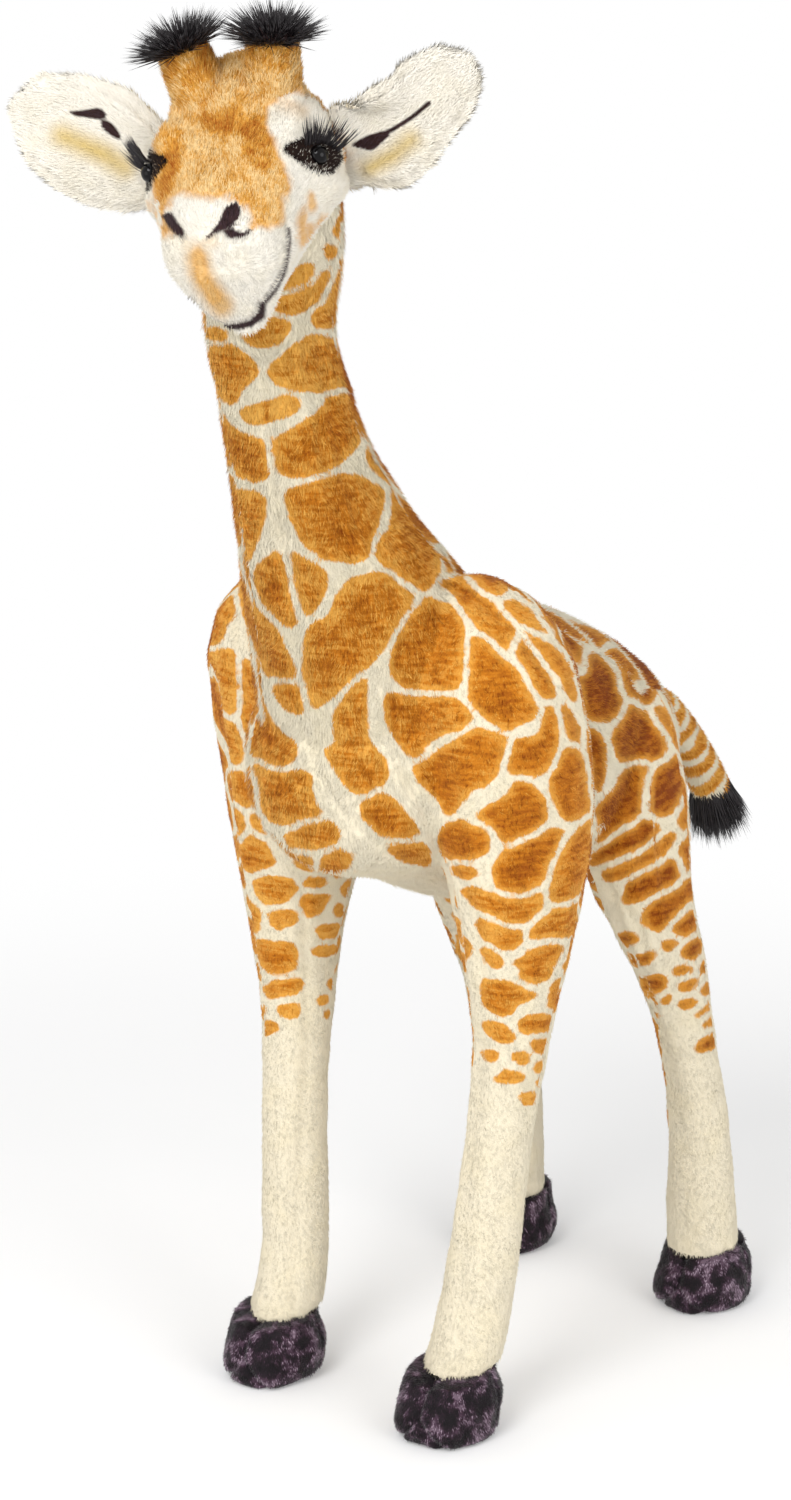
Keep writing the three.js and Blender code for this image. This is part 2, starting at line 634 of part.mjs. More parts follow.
function eyeBead(bulge) {
  const radius = EYE_RADIUS + bulge;
  const stem = STEM_RADIUS + bulge;
  const start = Math.asin(stem / radius);
  const steps = 6;
  const profile = [[0, -STEM_LENGTH - bulge], [stem, -STEM_LENGTH - bulge]];
  for (let i = 0; i <= steps; i++) {
    const angle = start + ((Math.PI - start) * i) / steps;
    profile.push([i === steps ? 0 : radius * Math.sin(angle), -radius * Math.cos(angle)]);
  }
  return eyePiece(turned(profile, 12));
}
function lockWasher(bulge) {
  const radius = WASHER_RADIUS + bulge;
  const back = -WASHER_DEPTH - WASHER_THICKNESS - bulge;
  const profile = [[0, back], [radius, back], [radius, bulge - WASHER_DEPTH], [0, bulge - WASHER_DEPTH]];
  return eyePiece(turned(profile, 12));
}
function eyePatch(bulge) {
  const lens = new THREE.SphereGeometry(1, 12, 8);
  const half = vector(PATCH_LENGTH, PATCH_HEIGHT, PATCH_THICKNESS).divideScalar(2).addScalar(bulge);
  lens.scale(half.x, half.y, half.z);
  const frame = new THREE.Matrix4().makeBasis(eyeAlong, eyeUp, eyeWay);
  return solidOf(lens.applyMatrix4(frame.setPosition(eyePlace)));
}

// Lashes: a stiff fringe that is sewn in over the eye
const LASH_SPAN = 26;
const LASH_HEIGHT = 13;
const LASH_THICKNESS = 1.2;
const LASH_COUNT = 9;
const LASH_BAND = 3; // of the fringe that the seam holds
const LASH_RISE = 11; // above the middle of the bead
function lashFringe(bulge) {
  const outline = new THREE.Shape();
  const half = LASH_SPAN / 2 + bulge;
  outline.moveTo(-half, -bulge);
  outline.lineTo(half, -bulge);
  outline.lineTo(half, LASH_BAND);
  for (let k = 0; k < LASH_COUNT && !bulge; k++) {
    const right = LASH_SPAN / 2 - (k * LASH_SPAN) / LASH_COUNT;
    const tip = right - LASH_SPAN / LASH_COUNT / 2;
    outline.lineTo(tip + (tip * LASH_BAND) / LASH_SPAN, LASH_HEIGHT);
    outline.lineTo(right - LASH_SPAN / LASH_COUNT, LASH_BAND);
  }
  if (bulge) outline.lineTo(half, LASH_HEIGHT).lineTo(-half, LASH_HEIGHT);
  outline.lineTo(-half, LASH_BAND);
  const options = { depth: LASH_THICKNESS + 2 * bulge, bevelEnabled: false };
  const fringe = new THREE.ExtrudeGeometry(outline, options);
  fringe.translate(0, -LASH_BAND, -LASH_THICKNESS / 2 - bulge);
  const out = eyeWay.clone().multiplyScalar(2).add(eyeUp).normalize();
  const frame = new THREE.Matrix4().makeBasis(eyeAlong, out, eyeAlong.clone().cross(out));
  const seat = eyePlace.clone().addScaledVector(eyeUp, LASH_RISE);
  frame.setPosition(seat.addScaledVector(eyeWay, EYE_SHOW));
  return solidOf(fringe.applyMatrix4(frame));
}

// Mane: a short ridge of longer pile down the nape
const MANE_WIDTH = 11;
const MANE_RISE = 14; // over the nape
const MANE_ROOT = 5; // of its section under the nape
const maneShares = [0.7, 0.9, 1.0, 1.0, 0.95, 0.8];
function maneForm() {
  const stations = maneShares.map((rise, i) => {
    const [, , , , aft, twist] = neckShares[i + 1];
    const way = neckLine[i + 2].clone().sub(neckLine[i]).normalize();
    const turn = twist * HEAD_TURN;
    const back = vector(-Math.sin(turn), Math.cos(turn), 0).projectOnPlane(way).normalize();
    return {
      middle: neckLine[i + 1].clone().addScaledVector(back, (aft * NECK_WIDTH) / 2),
      wide: MANE_WIDTH / 2,
      fore: MANE_ROOT,
      aft: MANE_RISE * rise,
      twist: turn,
    };
  });
  return stuffed(stations, { steps: 12, sides: 8, caps: [0.1, 0.1] });
}

// A copy on the other side of the middle plane
function mirrored(solid) {
  const geometry = geometryOf(solid);
  geometry.scale(-1, 1, 1);
  const corners = geometry.index.array;
  for (let i = 0; i < corners.length; i += 3) {
    [corners[i], corners[i + 1]] = [corners[i + 1], corners[i]];
  }
  return solidOf(geometry);
}

// Head and its parts, in the head's own frame
const headGroup = new THREE.Group();
headGroup.position.copy(neckTop).add(vector(HEAD_SIDE_OFFSET, -HEAD_REACH, HEAD_RISE));
headGroup.rotation.set(HEAD_NOD, -HEAD_ROLL, HEAD_TURN, "ZYX");
headGroup.updateMatrixWorld();
function inHead(geometry) {
  return solidOf(geometry.clone().applyMatrix4(headGroup.matrixWorld.clone().invert()));
}
// The round hollow that the top of the neck turns in, and the hole that the wire turns in
function neckSocket() {
  const radius = NECK_WIDTH / 2 + FLAP_ROOM;
  const hollow = new THREE.CylinderGeometry(radius, radius, HEAD_LENGTH, 24);
  hollow.rotateX(Math.PI / 2);
  hollow.translate(neckTop.x, neckTop.y, neckTop.z + FLAP_ROOM - HEAD_LENGTH / 2);
  return inHead(hollow);
}
function wireHole() {
  const length = WIRE_IN_HEAD + FLAP_ROOM + OVERRUN;
  const hole = new THREE.CylinderGeometry(CHANNEL_RADIUS, CHANNEL_RADIUS, length, WIRE_SIDES * 2);
  hole.rotateX(Math.PI / 2);
  hole.translate(wireTop.x, wireTop.y, wireTop.z + FLAP_ROOM - length / 2);
  return inHead(hole);
}
function bothSides(solid) {
  return [solid, mirrored(solid)];
}
const headCutters = [neckSocket(), wireHole()];
for (const cutter of [hornForm(SEAM_GAP), eyePatch(SEAM_GAP), eyeBead(SEAM_GAP),
  lockWasher(SEAM_GAP), lashFringe(SEAM_GAP), earRoll(TURN_GAP), earRoom()]) {
  headCutters.push(...bothSides(cutter));
}
function tuftOnHorn() {
  const tuft = hairTuft({
    backing: HORN_TUFT_RADIUS,
    depth: HORN_TUFT_DEPTH,
    reach: HORN_TUFT_REACH,
    spread: HORN_TUFT_SPREAD,
    evenness: 0.86,
    inner: 0.6,
  });
  const top = hornFoot.clone().addScaledVector(hornWay, HORN_HEIGHT + SEAM_GAP);
  return solidOf(stood(tuft, top, hornWay));
}
function tuftOnTail() {
  const end = tailLine().at(-1);
  const way = end.clone().sub(tailLine().at(-2)).normalize();
  const tuft = hairTuft({
    backing: TAIL_TUFT_RADIUS,
    depth: TAIL_TUFT_DEPTH,
    reach: TAIL_TUFT_REACH,
    spread: TAIL_TUFT_SPREAD,
    evenness: 0.9,
    inner: 1,
  });
  return solidOf(stood(tuft, end.addScaledVector(way, SEAM_GAP), way));
}

// Assembly: the body cuts the neck, and both cut the limbs
const animal = new THREE.Group();
const channels = [
  spineBar(CHANNEL_RADIUS, WIRE_GAP),
  hoopBar(frontLeg, FRONT_HOOP_PLACE, CHANNEL_RADIUS, WIRE_GAP),
  hoopBar(rearLeg, REAR_HOOP_PLACE, CHANNEL_RADIUS, WIRE_GAP),
];
const hoopChannels = channels.slice(1);
const pockets = [FRONT_HOOP_PLACE, REAR_HOOP_PLACE].map((at) => clampBlock(at, WIRE_GAP));
const bodyCutter = bodyForm(SEAM_GAP);
const neckCutter = neckForm(SEAM_GAP);
const addTo = (parent, name, solid, material) => parent.add(meshOf(name, solid, material));

addTo(animal, "body", cut(bodyForm(0), ...channels, ...pockets, rootBall(TURN_GAP)), materials.tan);
addTo(animal, "neck", cut(neckForm(0), bodyCutter, channels[0]), materials.tan);
addTo(animal, "mane", cut(maneForm(), neckCutter, bodyCutter), materials.tan);
for (const [end, leg] of [["front", frontLeg], ["rear", rearLeg]]) {
  for (const [flank, side] of [["left", 1], ["right", -1]]) {
    const limb = cut(legForm(leg, side, 0), bodyCutter, neckCutter,
      belowLeg(leg.hoof, side), ...hoopChannels);
    addTo(animal, `${flank}_${end}_leg`, limb, materials.cream);
    const hoof = cut(hoofForm(leg.hoof, side, 0), aboveHoof(leg.hoof, side, 0),
      soleBoard(leg.hoof, side, WIRE_GAP), ...hoopChannels);
    addTo(animal, `${flank}_${end}_hoof`, hoof, materials.hoof);
    addTo(animal, `${flank}_${end}_sole_board`, soleBoard(leg.hoof, side, 0), materials.plastic);
  }
}
addTo(animal, "spine_wire", spineBar(WIRE_RADIUS, 0), materials.steel);
addTo(animal, "front_leg_wire", hoopBar(frontLeg, FRONT_HOOP_PLACE, WIRE_RADIUS, 0), materials.steel);
addTo(animal, "rear_leg_wire", hoopBar(rearLeg, REAR_HOOP_PLACE, WIRE_RADIUS, 0), materials.steel);
addTo(animal, "front_wire_clamp", cut(clampBlock(FRONT_HOOP_PLACE, 0), ...channels), materials.steel);
addTo(animal, "rear_wire_clamp", cut(clampBlock(REAR_HOOP_PLACE, 0), ...channels), materials.steel);
addTo(animal, "tail", tailForm(0), materials.tan);
addTo(animal, "tail_tuft", tuftOnTail(), materials.black);

const browed = headForm(0).add(browBump(1)).add(browBump(-1));
addTo(headGroup, "head", cut(browed, ...headCutters), materials.tan);
const pairs = [
  ["ear", cut(earForm(), liningForm(SEAM_GAP)), materials.tan],
  ["ear_lining", liningForm(0), materials.cream],
  ["horn", hornForm(0), materials.tan],
  ["horn_tuft", tuftOnHorn(), materials.black],
  ["eye", eyeBead(0), materials.bead],
  ["eye_washer", cut(lockWasher(0), eyeBead(SEAM_GAP)), materials.plastic],
  ["eye_patch", cut(eyePatch(0), eyeBead(SEAM_GAP), lashFringe(SEAM_GAP)), materials.black],
  ["eyelashes", lashFringe(0), materials.black],
];
for (const [name, solid, material] of pairs) {
  addTo(headGroup, `left_${name}`, solid, material);
  addTo(headGroup, `right_${name}`, mirrored(solid), material);
}
animal.add(headGroup);

// The origin lies on the floor under the middle of the whole animal
const middle = new THREE.Box3().setFromObject(animal, true).getCenter(vector(0, 0, 0));
animal.position.set(-middle.x, -middle.y, 0);
const group = new THREE.Group();
group.add(animal);

export default group;
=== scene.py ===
# A standing plush giraffe calf. Everything is in metres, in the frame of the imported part: the
# giraffe faces -Y, its left side is +X, and the floor is at Z = 0.
import json
import math
from contextlib import contextmanager
import bpy
import numpy as np
from mathutils import Euler, Matrix, Vector
from mathutils.bvhtree import BVHTree
from mathutils.kdtree import KDTree

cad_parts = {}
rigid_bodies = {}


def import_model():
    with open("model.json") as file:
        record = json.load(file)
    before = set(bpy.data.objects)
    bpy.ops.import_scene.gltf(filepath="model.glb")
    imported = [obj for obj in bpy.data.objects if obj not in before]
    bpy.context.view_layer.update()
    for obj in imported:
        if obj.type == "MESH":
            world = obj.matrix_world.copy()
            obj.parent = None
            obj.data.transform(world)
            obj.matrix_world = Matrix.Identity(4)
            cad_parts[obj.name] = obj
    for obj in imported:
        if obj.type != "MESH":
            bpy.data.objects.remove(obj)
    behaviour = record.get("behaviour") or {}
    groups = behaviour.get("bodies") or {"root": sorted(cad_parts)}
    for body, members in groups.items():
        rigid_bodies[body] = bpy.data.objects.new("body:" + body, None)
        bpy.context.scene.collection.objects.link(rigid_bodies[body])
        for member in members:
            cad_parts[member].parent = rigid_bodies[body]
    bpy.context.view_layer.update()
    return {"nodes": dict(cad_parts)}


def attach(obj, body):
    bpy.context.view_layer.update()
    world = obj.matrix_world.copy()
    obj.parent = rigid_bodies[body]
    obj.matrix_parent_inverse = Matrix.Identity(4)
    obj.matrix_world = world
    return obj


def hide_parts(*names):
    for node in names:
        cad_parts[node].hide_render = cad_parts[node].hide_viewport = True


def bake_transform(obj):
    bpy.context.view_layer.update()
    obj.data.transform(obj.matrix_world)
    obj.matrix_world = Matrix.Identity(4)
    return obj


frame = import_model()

nodes = frame["nodes"]


# ---------------------------------------------------------------- steel and board inside
# Bent spring wire with crimped clamps holds the calf up, and hard plastic boards keep its
# soles flat. The eyes are locked behind the face cover by plastic washers.
class Value:
    """A shader socket that can stand in a sum, which then becomes Math nodes."""

    def __init__(self, finish, socket):
        self.finish, self.socket = finish, socket

    def joined(self, operation, one, other):
        return self.finish.node("ShaderNodeMath", {"operation": operation}, {0: one, 1: other})

    def __add__(self, other):
        return self.joined("ADD", self, other)

    def __mul__(self, other):
        return self.joined("MULTIPLY", self, other)

    def __sub__(self, other):
        return self.joined("SUBTRACT", self, other)

    def __rsub__(self, other):
        return self.joined("SUBTRACT", other, self)

    __radd__ = __add__
    __rmul__ = __mul__

    def ramp(self, low, high):
        """0 below low, 1 above high, and smooth between them."""
        return self.finish.node(
            "ShaderNodeMapRange", {"interpolation_type": "SMOOTHSTEP"},
            {"Value": self, "From Min": low, "From Max": high}, "Result")


class Finish:
    """A material, or another owner of shader nodes, in the making, with its main shader."""

    def __init__(self, owner, shader="Principled BSDF", **shader_values):
        self.material = bpy.data.materials.new(owner) if isinstance(owner, str) else owner
        self.material.use_nodes = True
        self.tree = self.material.node_tree
        self.shader = self.tree.nodes[shader]
        for socket, value in shader_values.items():
            self.shader.inputs[socket.replace("_", " ")].default_value = value

    def node(self, kind, settings, values, output=0):
        made = self.tree.nodes.new(kind)
        for setting, value in settings.items():
            if setting == "stops":
                ramp = made.color_ramp
                while len(ramp.elements) < len(value):
                    ramp.elements.new(0.5)
                for element, (position, colour) in zip(ramp.elements, value):
                    element.position, element.color = position, (*colour, 1)
            else:
                setattr(made, setting, value)
        for socket, value in values.items():
            if isinstance(value, Value):
                self.tree.links.new(value.socket, made.inputs[socket])
            elif isinstance(value, tuple) and made.inputs[socket].type == "RGBA":
                made.inputs[socket].default_value = (*value, 1)
            else:
                made.inputs[socket].default_value = value
        return Value(self, made.outputs[output])

    def place(self, stretch=(1, 1, 1)):
        spot = self.node("ShaderNodeTexCoord", {}, {}, "Object")
        return self.node("ShaderNodeMapping", {}, {"Vector": spot, "Scale": stretch})

    def noise(self, scale, detail=2, stretch=(1, 1, 1)):
        return self.node("ShaderNodeTexNoise", {},
                         {"Vector": self.place(stretch), "Scale": scale, "Detail": detail}, "Fac")

    def attribute(self, name):
        return self.node("ShaderNodeAttribute", {"attribute_name": name}, {}, "Fac")

    def mix(self, share, one, other):
        return self.node("ShaderNodeMix", {"data_type": "RGBA"}, {0: share, 6: one, 7: other}, 2)

    def seen_directly(self):
        """1 for rays that come from the camera, a mirror image or a clear piece, 0 for others."""
        rays = [self.node("ShaderNodeLightPath", {}, {}, f"Is {kind} Ray")
                for kind in ("Camera", "Glossy", "Transmission")]
        return self.node("ShaderNodeMath", {"operation": "MINIMUM"}, {0: sum(rays), 1: 1.0})

    def bump(self, height, distance, strength=1.0):
        return self.node("ShaderNodeBump", {},
                         {"Height": height, "Distance": distance, "Strength": strength})

    def feed(self, **sources):
        for socket, source in sources.items():
            self.tree.links.new(source.socket, self.shader.inputs[socket.replace("_", " ")])
        return self.material


def linear(hex_colour):
    """A colour as it is seen, such as "d9a257", in the linear units of the shaders."""
    parts = [int(hex_colour[i:i + 2], 16) / 255 for i in (0, 2, 4)]
    return tuple(((p + 0.055) / 1.055) ** 2.4 if p > 0.04 else p / 12.92 for p in parts)


steel = Finish("drawn_steel", Metallic=1.0, Roughness=0.35)
draw_marks = steel.noise(900, 3, (1, 1, 0.08))
steel.feed(
    Base_Color=steel.mix(draw_marks, linear("6e747b"), linear("b5bac0")),
    Roughness=0.28 + 0.3 * draw_marks,
    Normal=steel.bump(draw_marks, 0.0002))
board = Finish("board_plastic", Roughness=0.6)
board_grain = board.noise(350, 4)
board.feed(
    Base_Color=board.mix(board_grain, linear("cfcabb"), linear("e2dece")),
    Roughness=0.5 + 0.25 * board_grain,
    Normal=board.bump(board_grain, 0.0003))
for name, node in nodes.items():
    if any(word in name for word in ("wire", "board", "washer")):
        node.data.materials.clear()
        node.data.materials.append((steel if "wire" in name else board).material)


# ---------------------------------------------------------------- sewn covers of body, neck, legs
# The stuffed body, neck and legs: knitted plush backing sewn into one firm skin. The shoulders
# and thighs are panels of their own, and each cover closes on itself where it is sewn on.
def deselect():
    for o in bpy.context.view_layer.objects:
        o.select_set(False)


def activate(o, *others):
    """Selects these objects alone, and makes the first of them the active one."""
    deselect()
    bpy.context.view_layer.objects.active = o
    for chosen in (o, *others):
        chosen.select_set(True)


@contextmanager
def editing(o, select="SELECT", kind=None):
    """Edit mode on one object, with all of it selected unless told otherwise."""
    activate(o)
    bpy.ops.object.mode_set(mode="EDIT")
    if kind:
        bpy.ops.mesh.select_mode(type=kind)
    if select:
        bpy.ops.mesh.select_all(action=select)
    yield
    bpy.ops.object.mode_set(mode="OBJECT")


def linked(name, data):
    made = bpy.data.objects.new(name, data)
    bpy.context.scene.collection.objects.link(made)
    return made


def merge(o):
    with editing(o):
        bpy.ops.mesh.remove_doubles(threshold=0.00002)
        bpy.ops.mesh.normals_make_consistent(inside=False)


def gathered(items, key, width, kind=float):
    """One property of all these items of a mesh, as an array with a row for each."""
    values = np.empty(len(items) * width, kind)
    items.foreach_get(key, values)
    return values.reshape(-1, width)


def corners(o):
    return gathered(o.data.vertices, "co", 3)


def corner_normals(o):
    return gathered(o.data.vertex_normals, "vector", 3)


def corner_numbers(items, width):
    return gathered(items, "vertices", width, np.int32)


def move_corners(o, places):
    o.data.vertices.foreach_set("co", places.ravel())
    o.data.update()


def delete(o, kind, doomed):
    """Deletes these corners ("VERT") or faces ("FACE") of a mesh."""
    me = o.data
    for items in (me.vertices, me.edges, me.polygons):
        items.foreach_set("select", np.zeros(len(items), bool))
    (me.vertices if kind == "VERT" else me.polygons).foreach_set("select", doomed)
    with editing(o, None, kind):
        bpy.ops.mesh.delete(type=kind)


def loose_parts(count, pairs):
    """A number for each corner, the same for all that these edges join."""
    group = np.arange(count)
    while True:
        low = np.minimum(group[pairs[:, 0]], group[pairs[:, 1]])
        fresh = group.copy()
        np.minimum.at(fresh, pairs[:, 0], low)
        np.minimum.at(fresh, pairs[:, 1], low)
        fresh = fresh[fresh]
        if (fresh == group).all():
            return group
        group = fresh


def keep_largest(o):
    """Deletes every loose part of a mesh but the one with the most corners."""
    group = loose_parts(len(o.data.vertices), corner_numbers(o.data.edges, 2))
    delete(o, "VERT", group != np.bincount(group).argmax())


def remeshed(o, voxel):
    activate(o)
    o.data.remesh_voxel_size = voxel
    bpy.ops.object.voxel_remesh()
    keep_largest(o)


def modified(o, kind, **settings):
    activate(o)
    change = o.modifiers.new("change", kind)
    for setting, value in settings.items():
        setattr(change, setting, value)
    bpy.ops.object.modifier_apply(modifier=change.name)


def smoothed(o, factor, times):
    modified(o, "SMOOTH", factor=factor, iterations=times)


def stuffed(name, *sources, voxel=0.002, smoothings=6):
    """The merged meshes of these CAD nodes as one new, even and smoothed skin."""
    copies = [linked(name, nodes[source].data.copy()) for source in sources]
    activate(*copies)
    if len(copies) > 1:
        bpy.ops.object.join()
    made = copies[0]
    made.data.materials.clear()
    merge(made)
    remeshed(made, voxel)
    smoothed(made, 0.5, smoothings)
    return made


def tree_of(points):
    """A tree that finds the nearest of these points."""
    tree = KDTree(len(points))
    for number, point in enumerate(points):
        tree.insert(point, number)
    tree.balance()
    return tree


def unit(ways):
    return ways / np.maximum(np.linalg.norm(ways, axis=-1, keepdims=True), 1e-9)


def step(values, low, high):
    share = np.clip((values - low) / (high - low), 0, 1)
    return share * share * (3 - 2 * share)


def ripple(places, size, seed):
    """Smooth uneven values from -1 to 1 that change over about this distance."""
    draw = np.random.default_rng(seed)
    total = np.zeros(len(places))
    for _ in range(7):
        wave = unit(draw.normal(size=3)) * draw.uniform(0.6, 1.5) * math.tau / (2.2 * size)
        total += np.sin(places @ wave + draw.uniform(0, math.tau))
    return total / 3.2


LIMBS = ("left_front_leg", "right_front_leg", "left_rear_leg", "right_rear_leg")
skin = stuffed("skin", "body", "neck", *LIMBS, "spine_wire", "front_leg_wire", "rear_leg_wire",
               "front_wire_clamp", "rear_wire_clamp", voxel=0.0035, smoothings=9)


def distances(places, node):
    """How far each place is from the surface of a CAD node."""
    mesh = nodes[node].data
    tree = BVHTree.FromPolygons([v.co for v in mesh.vertices],
                                [p.vertices for p in mesh.polygons])
    return np.array([tree.find_nearest(p)[3] for p in places])


places = corners(skin)
reach = np.array([distances(places, n) for n in ("body", "neck", *LIMBS)])
edges = corner_numbers(skin.data.edges, 2)


def spread(values, times):
    """Values at the corners, evened out along the edges of the skin."""
    count = np.bincount(edges.ravel(), minlength=len(values))
    for _ in range(times):
        total = np.zeros_like(values)
        np.add.at(total, edges[:, 0], values[edges[:, 1]])
        np.add.at(total, edges[:, 1], values[edges[:, 0]])
        values = (values + total / np.maximum(count, 1)) / 2
    return values


reach = np.array([spread(row, 12) for row in reach])


# Each face goes to the cover whose solid is nearest, and each cover is all of one piece
faces = corner_numbers(skin.data.polygons, 4)
rims = np.sort(np.stack([faces, np.roll(faces, -1, axis=1)], -1).reshape(-1, 2), axis=1)
rims = rims[:, 0] * np.int64(len(places)) + rims[:, 1]
order = np.argsort(rims, kind="stable")
pair = rims[order][:-1] == rims[order][1:]
neighbours = np.stack([order[:-1][pair], order[1:][pair]], 1) // 4
face_reach = reach[:, faces].mean(2)
face_owner = face_reach.argmin(0)
for number in 3 * list(range(len(reach))):
    mine = face_owner == number
    group = loose_parts(len(faces), neighbours[mine[neighbours].all(1)])
    main = np.bincount(group[mine]).argmax()
    face_reach[number][mine & (group != main)] += 9.0
    face_owner = face_reach.argmin(0)

# ---------------------------------------------------------------- the plush and its coat
# The pile is knitted in tan and cream. The coat is drawn once, as patch outlines in pixels of
# the photograph, and is laid on the covers from the photograph's side and mirrored to the other.
PHOTO_SIZE = (791, 1500)
PHOTO_FOCUS = 3545.0  # focal length in pixels
PHOTO_AIM = np.array([0.00798, -0.11202, 0.4696])
PHOTO_TURN = math.radians(38.35)
PHOTO_DROP = math.radians(14.6)
PHOTO_DISTANCE = 2.4
MIDDLE_X = -0.00242  # of the body's middle plane
back_way = np.array([math.sin(PHOTO_TURN) * math.cos(PHOTO_DROP),
                     -math.cos(PHOTO_TURN) * math.cos(PHOTO_DROP), math.sin(PHOTO_DROP)])
right_way = np.array([math.cos(PHOTO_TURN), math.sin(PHOTO_TURN), 0.0])
up_way = np.cross(back_way, right_way)
lens_place = PHOTO_AIM + PHOTO_DISTANCE * back_way


def in_photo(places):
    """The photograph's pixels, across and down, at which these places are seen."""
    sight = places - lens_place
    depth = -(sight @ back_way)
    return (PHOTO_SIZE[0] / 2 + PHOTO_FOCUS * (sight @ right_way) / depth,
            PHOTO_SIZE[1] / 2 - PHOTO_FOCUS * (sight @ up_way) / depth)


def read(outline):
    """The points of one outline or line."""
    return np.array([[float(n) for n in pair.split(",")] for pair in outline.split()])


def outlines(rows):
    """The outlines in a block, each on a row that may run on over indented rows."""
    return rows.strip().replace("\n    ", " ").splitlines()


def rounded(points, share=0.2):
    """An outline with its corners cut off, as the pile softens them."""
    after = np.roll(points, -1, axis=0)
    cut = [(1 - share) * points + share * after, share * points + (1 - share) * after]
    return np.stack(cut, 1).reshape(-1, 2)


class Drawing:
    """How deep each pixel of the photograph's plane lies inside the outlines drawn on it."""

    FAR = -12.0  # the depth of all that is further outside
    MARGIN = 14  # how far around an outline its depth is worked out, in pixels

    def __init__(self):
        self.depth = np.full((PHOTO_SIZE[1], PHOTO_SIZE[0]), self.FAR, np.float32)
        self.second = self.depth.copy()
        self.tone = np.full(self.depth.shape, 0.5, np.float32)

    def window(self, points, margin):
        low = np.maximum(np.floor(points.min(0) - margin), 0).astype(int)
        high = np.minimum(np.ceil(points.max(0) + margin), np.array(PHOTO_SIZE) - 1).astype(int)
        across, down = np.meshgrid(np.arange(low[0], high[0] + 1), np.arange(low[1], high[1] + 1))
        return (slice(low[1], high[1] + 1), slice(low[0], high[0] + 1)), across + 0.5, down + 0.5

    def lay(self, part, depth, tone):
        before = self.depth[part].copy()
        self.second[part] = np.maximum(self.second[part], np.minimum(before, depth))
        self.depth[part] = np.maximum(before, depth)
        self.tone[part][depth > before] = tone

    def lined(self, width):
        """Leaves a line at least this wide between any two patches."""
        self.depth = np.minimum(self.depth, (self.depth - self.second - width) / 2)

    def nearest(self, across, down, points, following):
        least = np.full(across.shape, np.inf)
        inside = np.zeros(across.shape, bool)
        for (x0, y0), (x1, y1) in zip(points, following):
            dx, dy = x1 - x0, y1 - y0
            share = ((across - x0) * dx + (down - y0) * dy) / max(dx * dx + dy * dy, 1e-6)
            share = np.clip(share, 0, 1)
            least = np.minimum(least, np.hypot(across - x0 - share * dx, down - y0 - share * dy))
            if dy:
                crosses = ((y0 > down) != (y1 > down)) & (across < x0 + (down - y0) * dx / dy)
                inside ^= crosses
        return least, inside

    def within(self, outline, margin=MARGIN):
        """How deep the pixels around an outline lie inside it."""
        points = rounded(read(outline))
        part, across, down = self.window(points, margin)
        least, inside = self.nearest(across, down, points, np.roll(points, -1, axis=0))
        return part, np.where(inside, least, -least)

    def patch(self, outline, tone, grown=0.0):
        part, depth = self.within(outline)
        self.lay(part, depth + grown, tone)

    def shade(self, outline, low, rise):
        """Darkens the tone within an outline, with a soft edge."""
        part, depth = self.within(outline, 8)
        self.tone[part] = np.maximum(self.tone[part], low + rise * step(depth, -7, 6))

    def stroke(self, line, width, tone=0.5):
        points = read(line)
        part, across, down = self.window(points, self.MARGIN + width)
        least, _ = self.nearest(across, down, points[:-1], points[1:])
        self.lay(part, width / 2 - least, tone)

    def at(self, across, down):
        """Depth in pixels and tone at these pixels."""
        x = np.clip(across - 0.5, 0, PHOTO_SIZE[0] - 2)
        y = np.clip(down - 0.5, 0, PHOTO_SIZE[1] - 2)
        col, row = x.astype(int), y.astype(int)
        fx, fy = x - col, y - row
        d = self.depth
        depth = ((d[row, col] * (1 - fx) + d[row, col + 1] * fx) * (1 - fy)
                 + (d[row + 1, col] * (1 - fx) + d[row + 1, col + 1] * fx) * fy)
        return depth, self.tone[row, col]


# The tan patches, one outline a row, region by region
NECK_PATCHES = """
336,214 342,218 341,233 333,243 328,236 331,225
322,243 330,240 329,252 323,256
322,269 321,281 313,296 304,304 287,312 277,308 270,301 275,296 290,296 304,287 315,279
340,264 339,285 338,306 335,319 321,325 311,324 307,317 313,306 323,304 326,291 332,275
268,318 285,320 284,329 277,340 264,343 254,341 248,333 252,327 260,325
212,328 230,330 229,336 218,336
213,348 239,345 256,361 262,369 245,384 240,398 234,400 222,386 216,370
344,327 349,346 350,367 344,384 330,388 308,389 290,386 277,378 271,369 277,361 290,348 304,337
    315,335 325,342 336,335
353,384 357,388 361,403 359,406 354,394
223,409 237,428 258,438 271,440 276,470 262,478 245,472 231,461 226,436
272,440 296,428 319,409 325,396 340,394 351,409 355,428 350,445 334,461 313,471 294,472 277,468
365,424 374,436 380,455 390,470 386,485 376,476 361,461 365,445
234,489 268,493 267,514 260,539 252,558 243,558 238,537 235,508
289,489 304,486 325,478 348,476 374,491 376,501 367,537 363,556 350,560 325,554 306,537 296,518
    292,503
392,485 405,503 418,516 432,537 437,558 432,579 420,590 407,585 390,569 374,558 374,543 386,535
    389,512 388,495
437,545 447,558 452,571 447,579 441,571
"""
PALE_NECK_PATCHES = """
306,261 310,264 305,278 287,285 273,291 275,286 287,276 294,264
244,408 266,401 285,394 298,398 296,408 279,417 258,422 248,415
"""
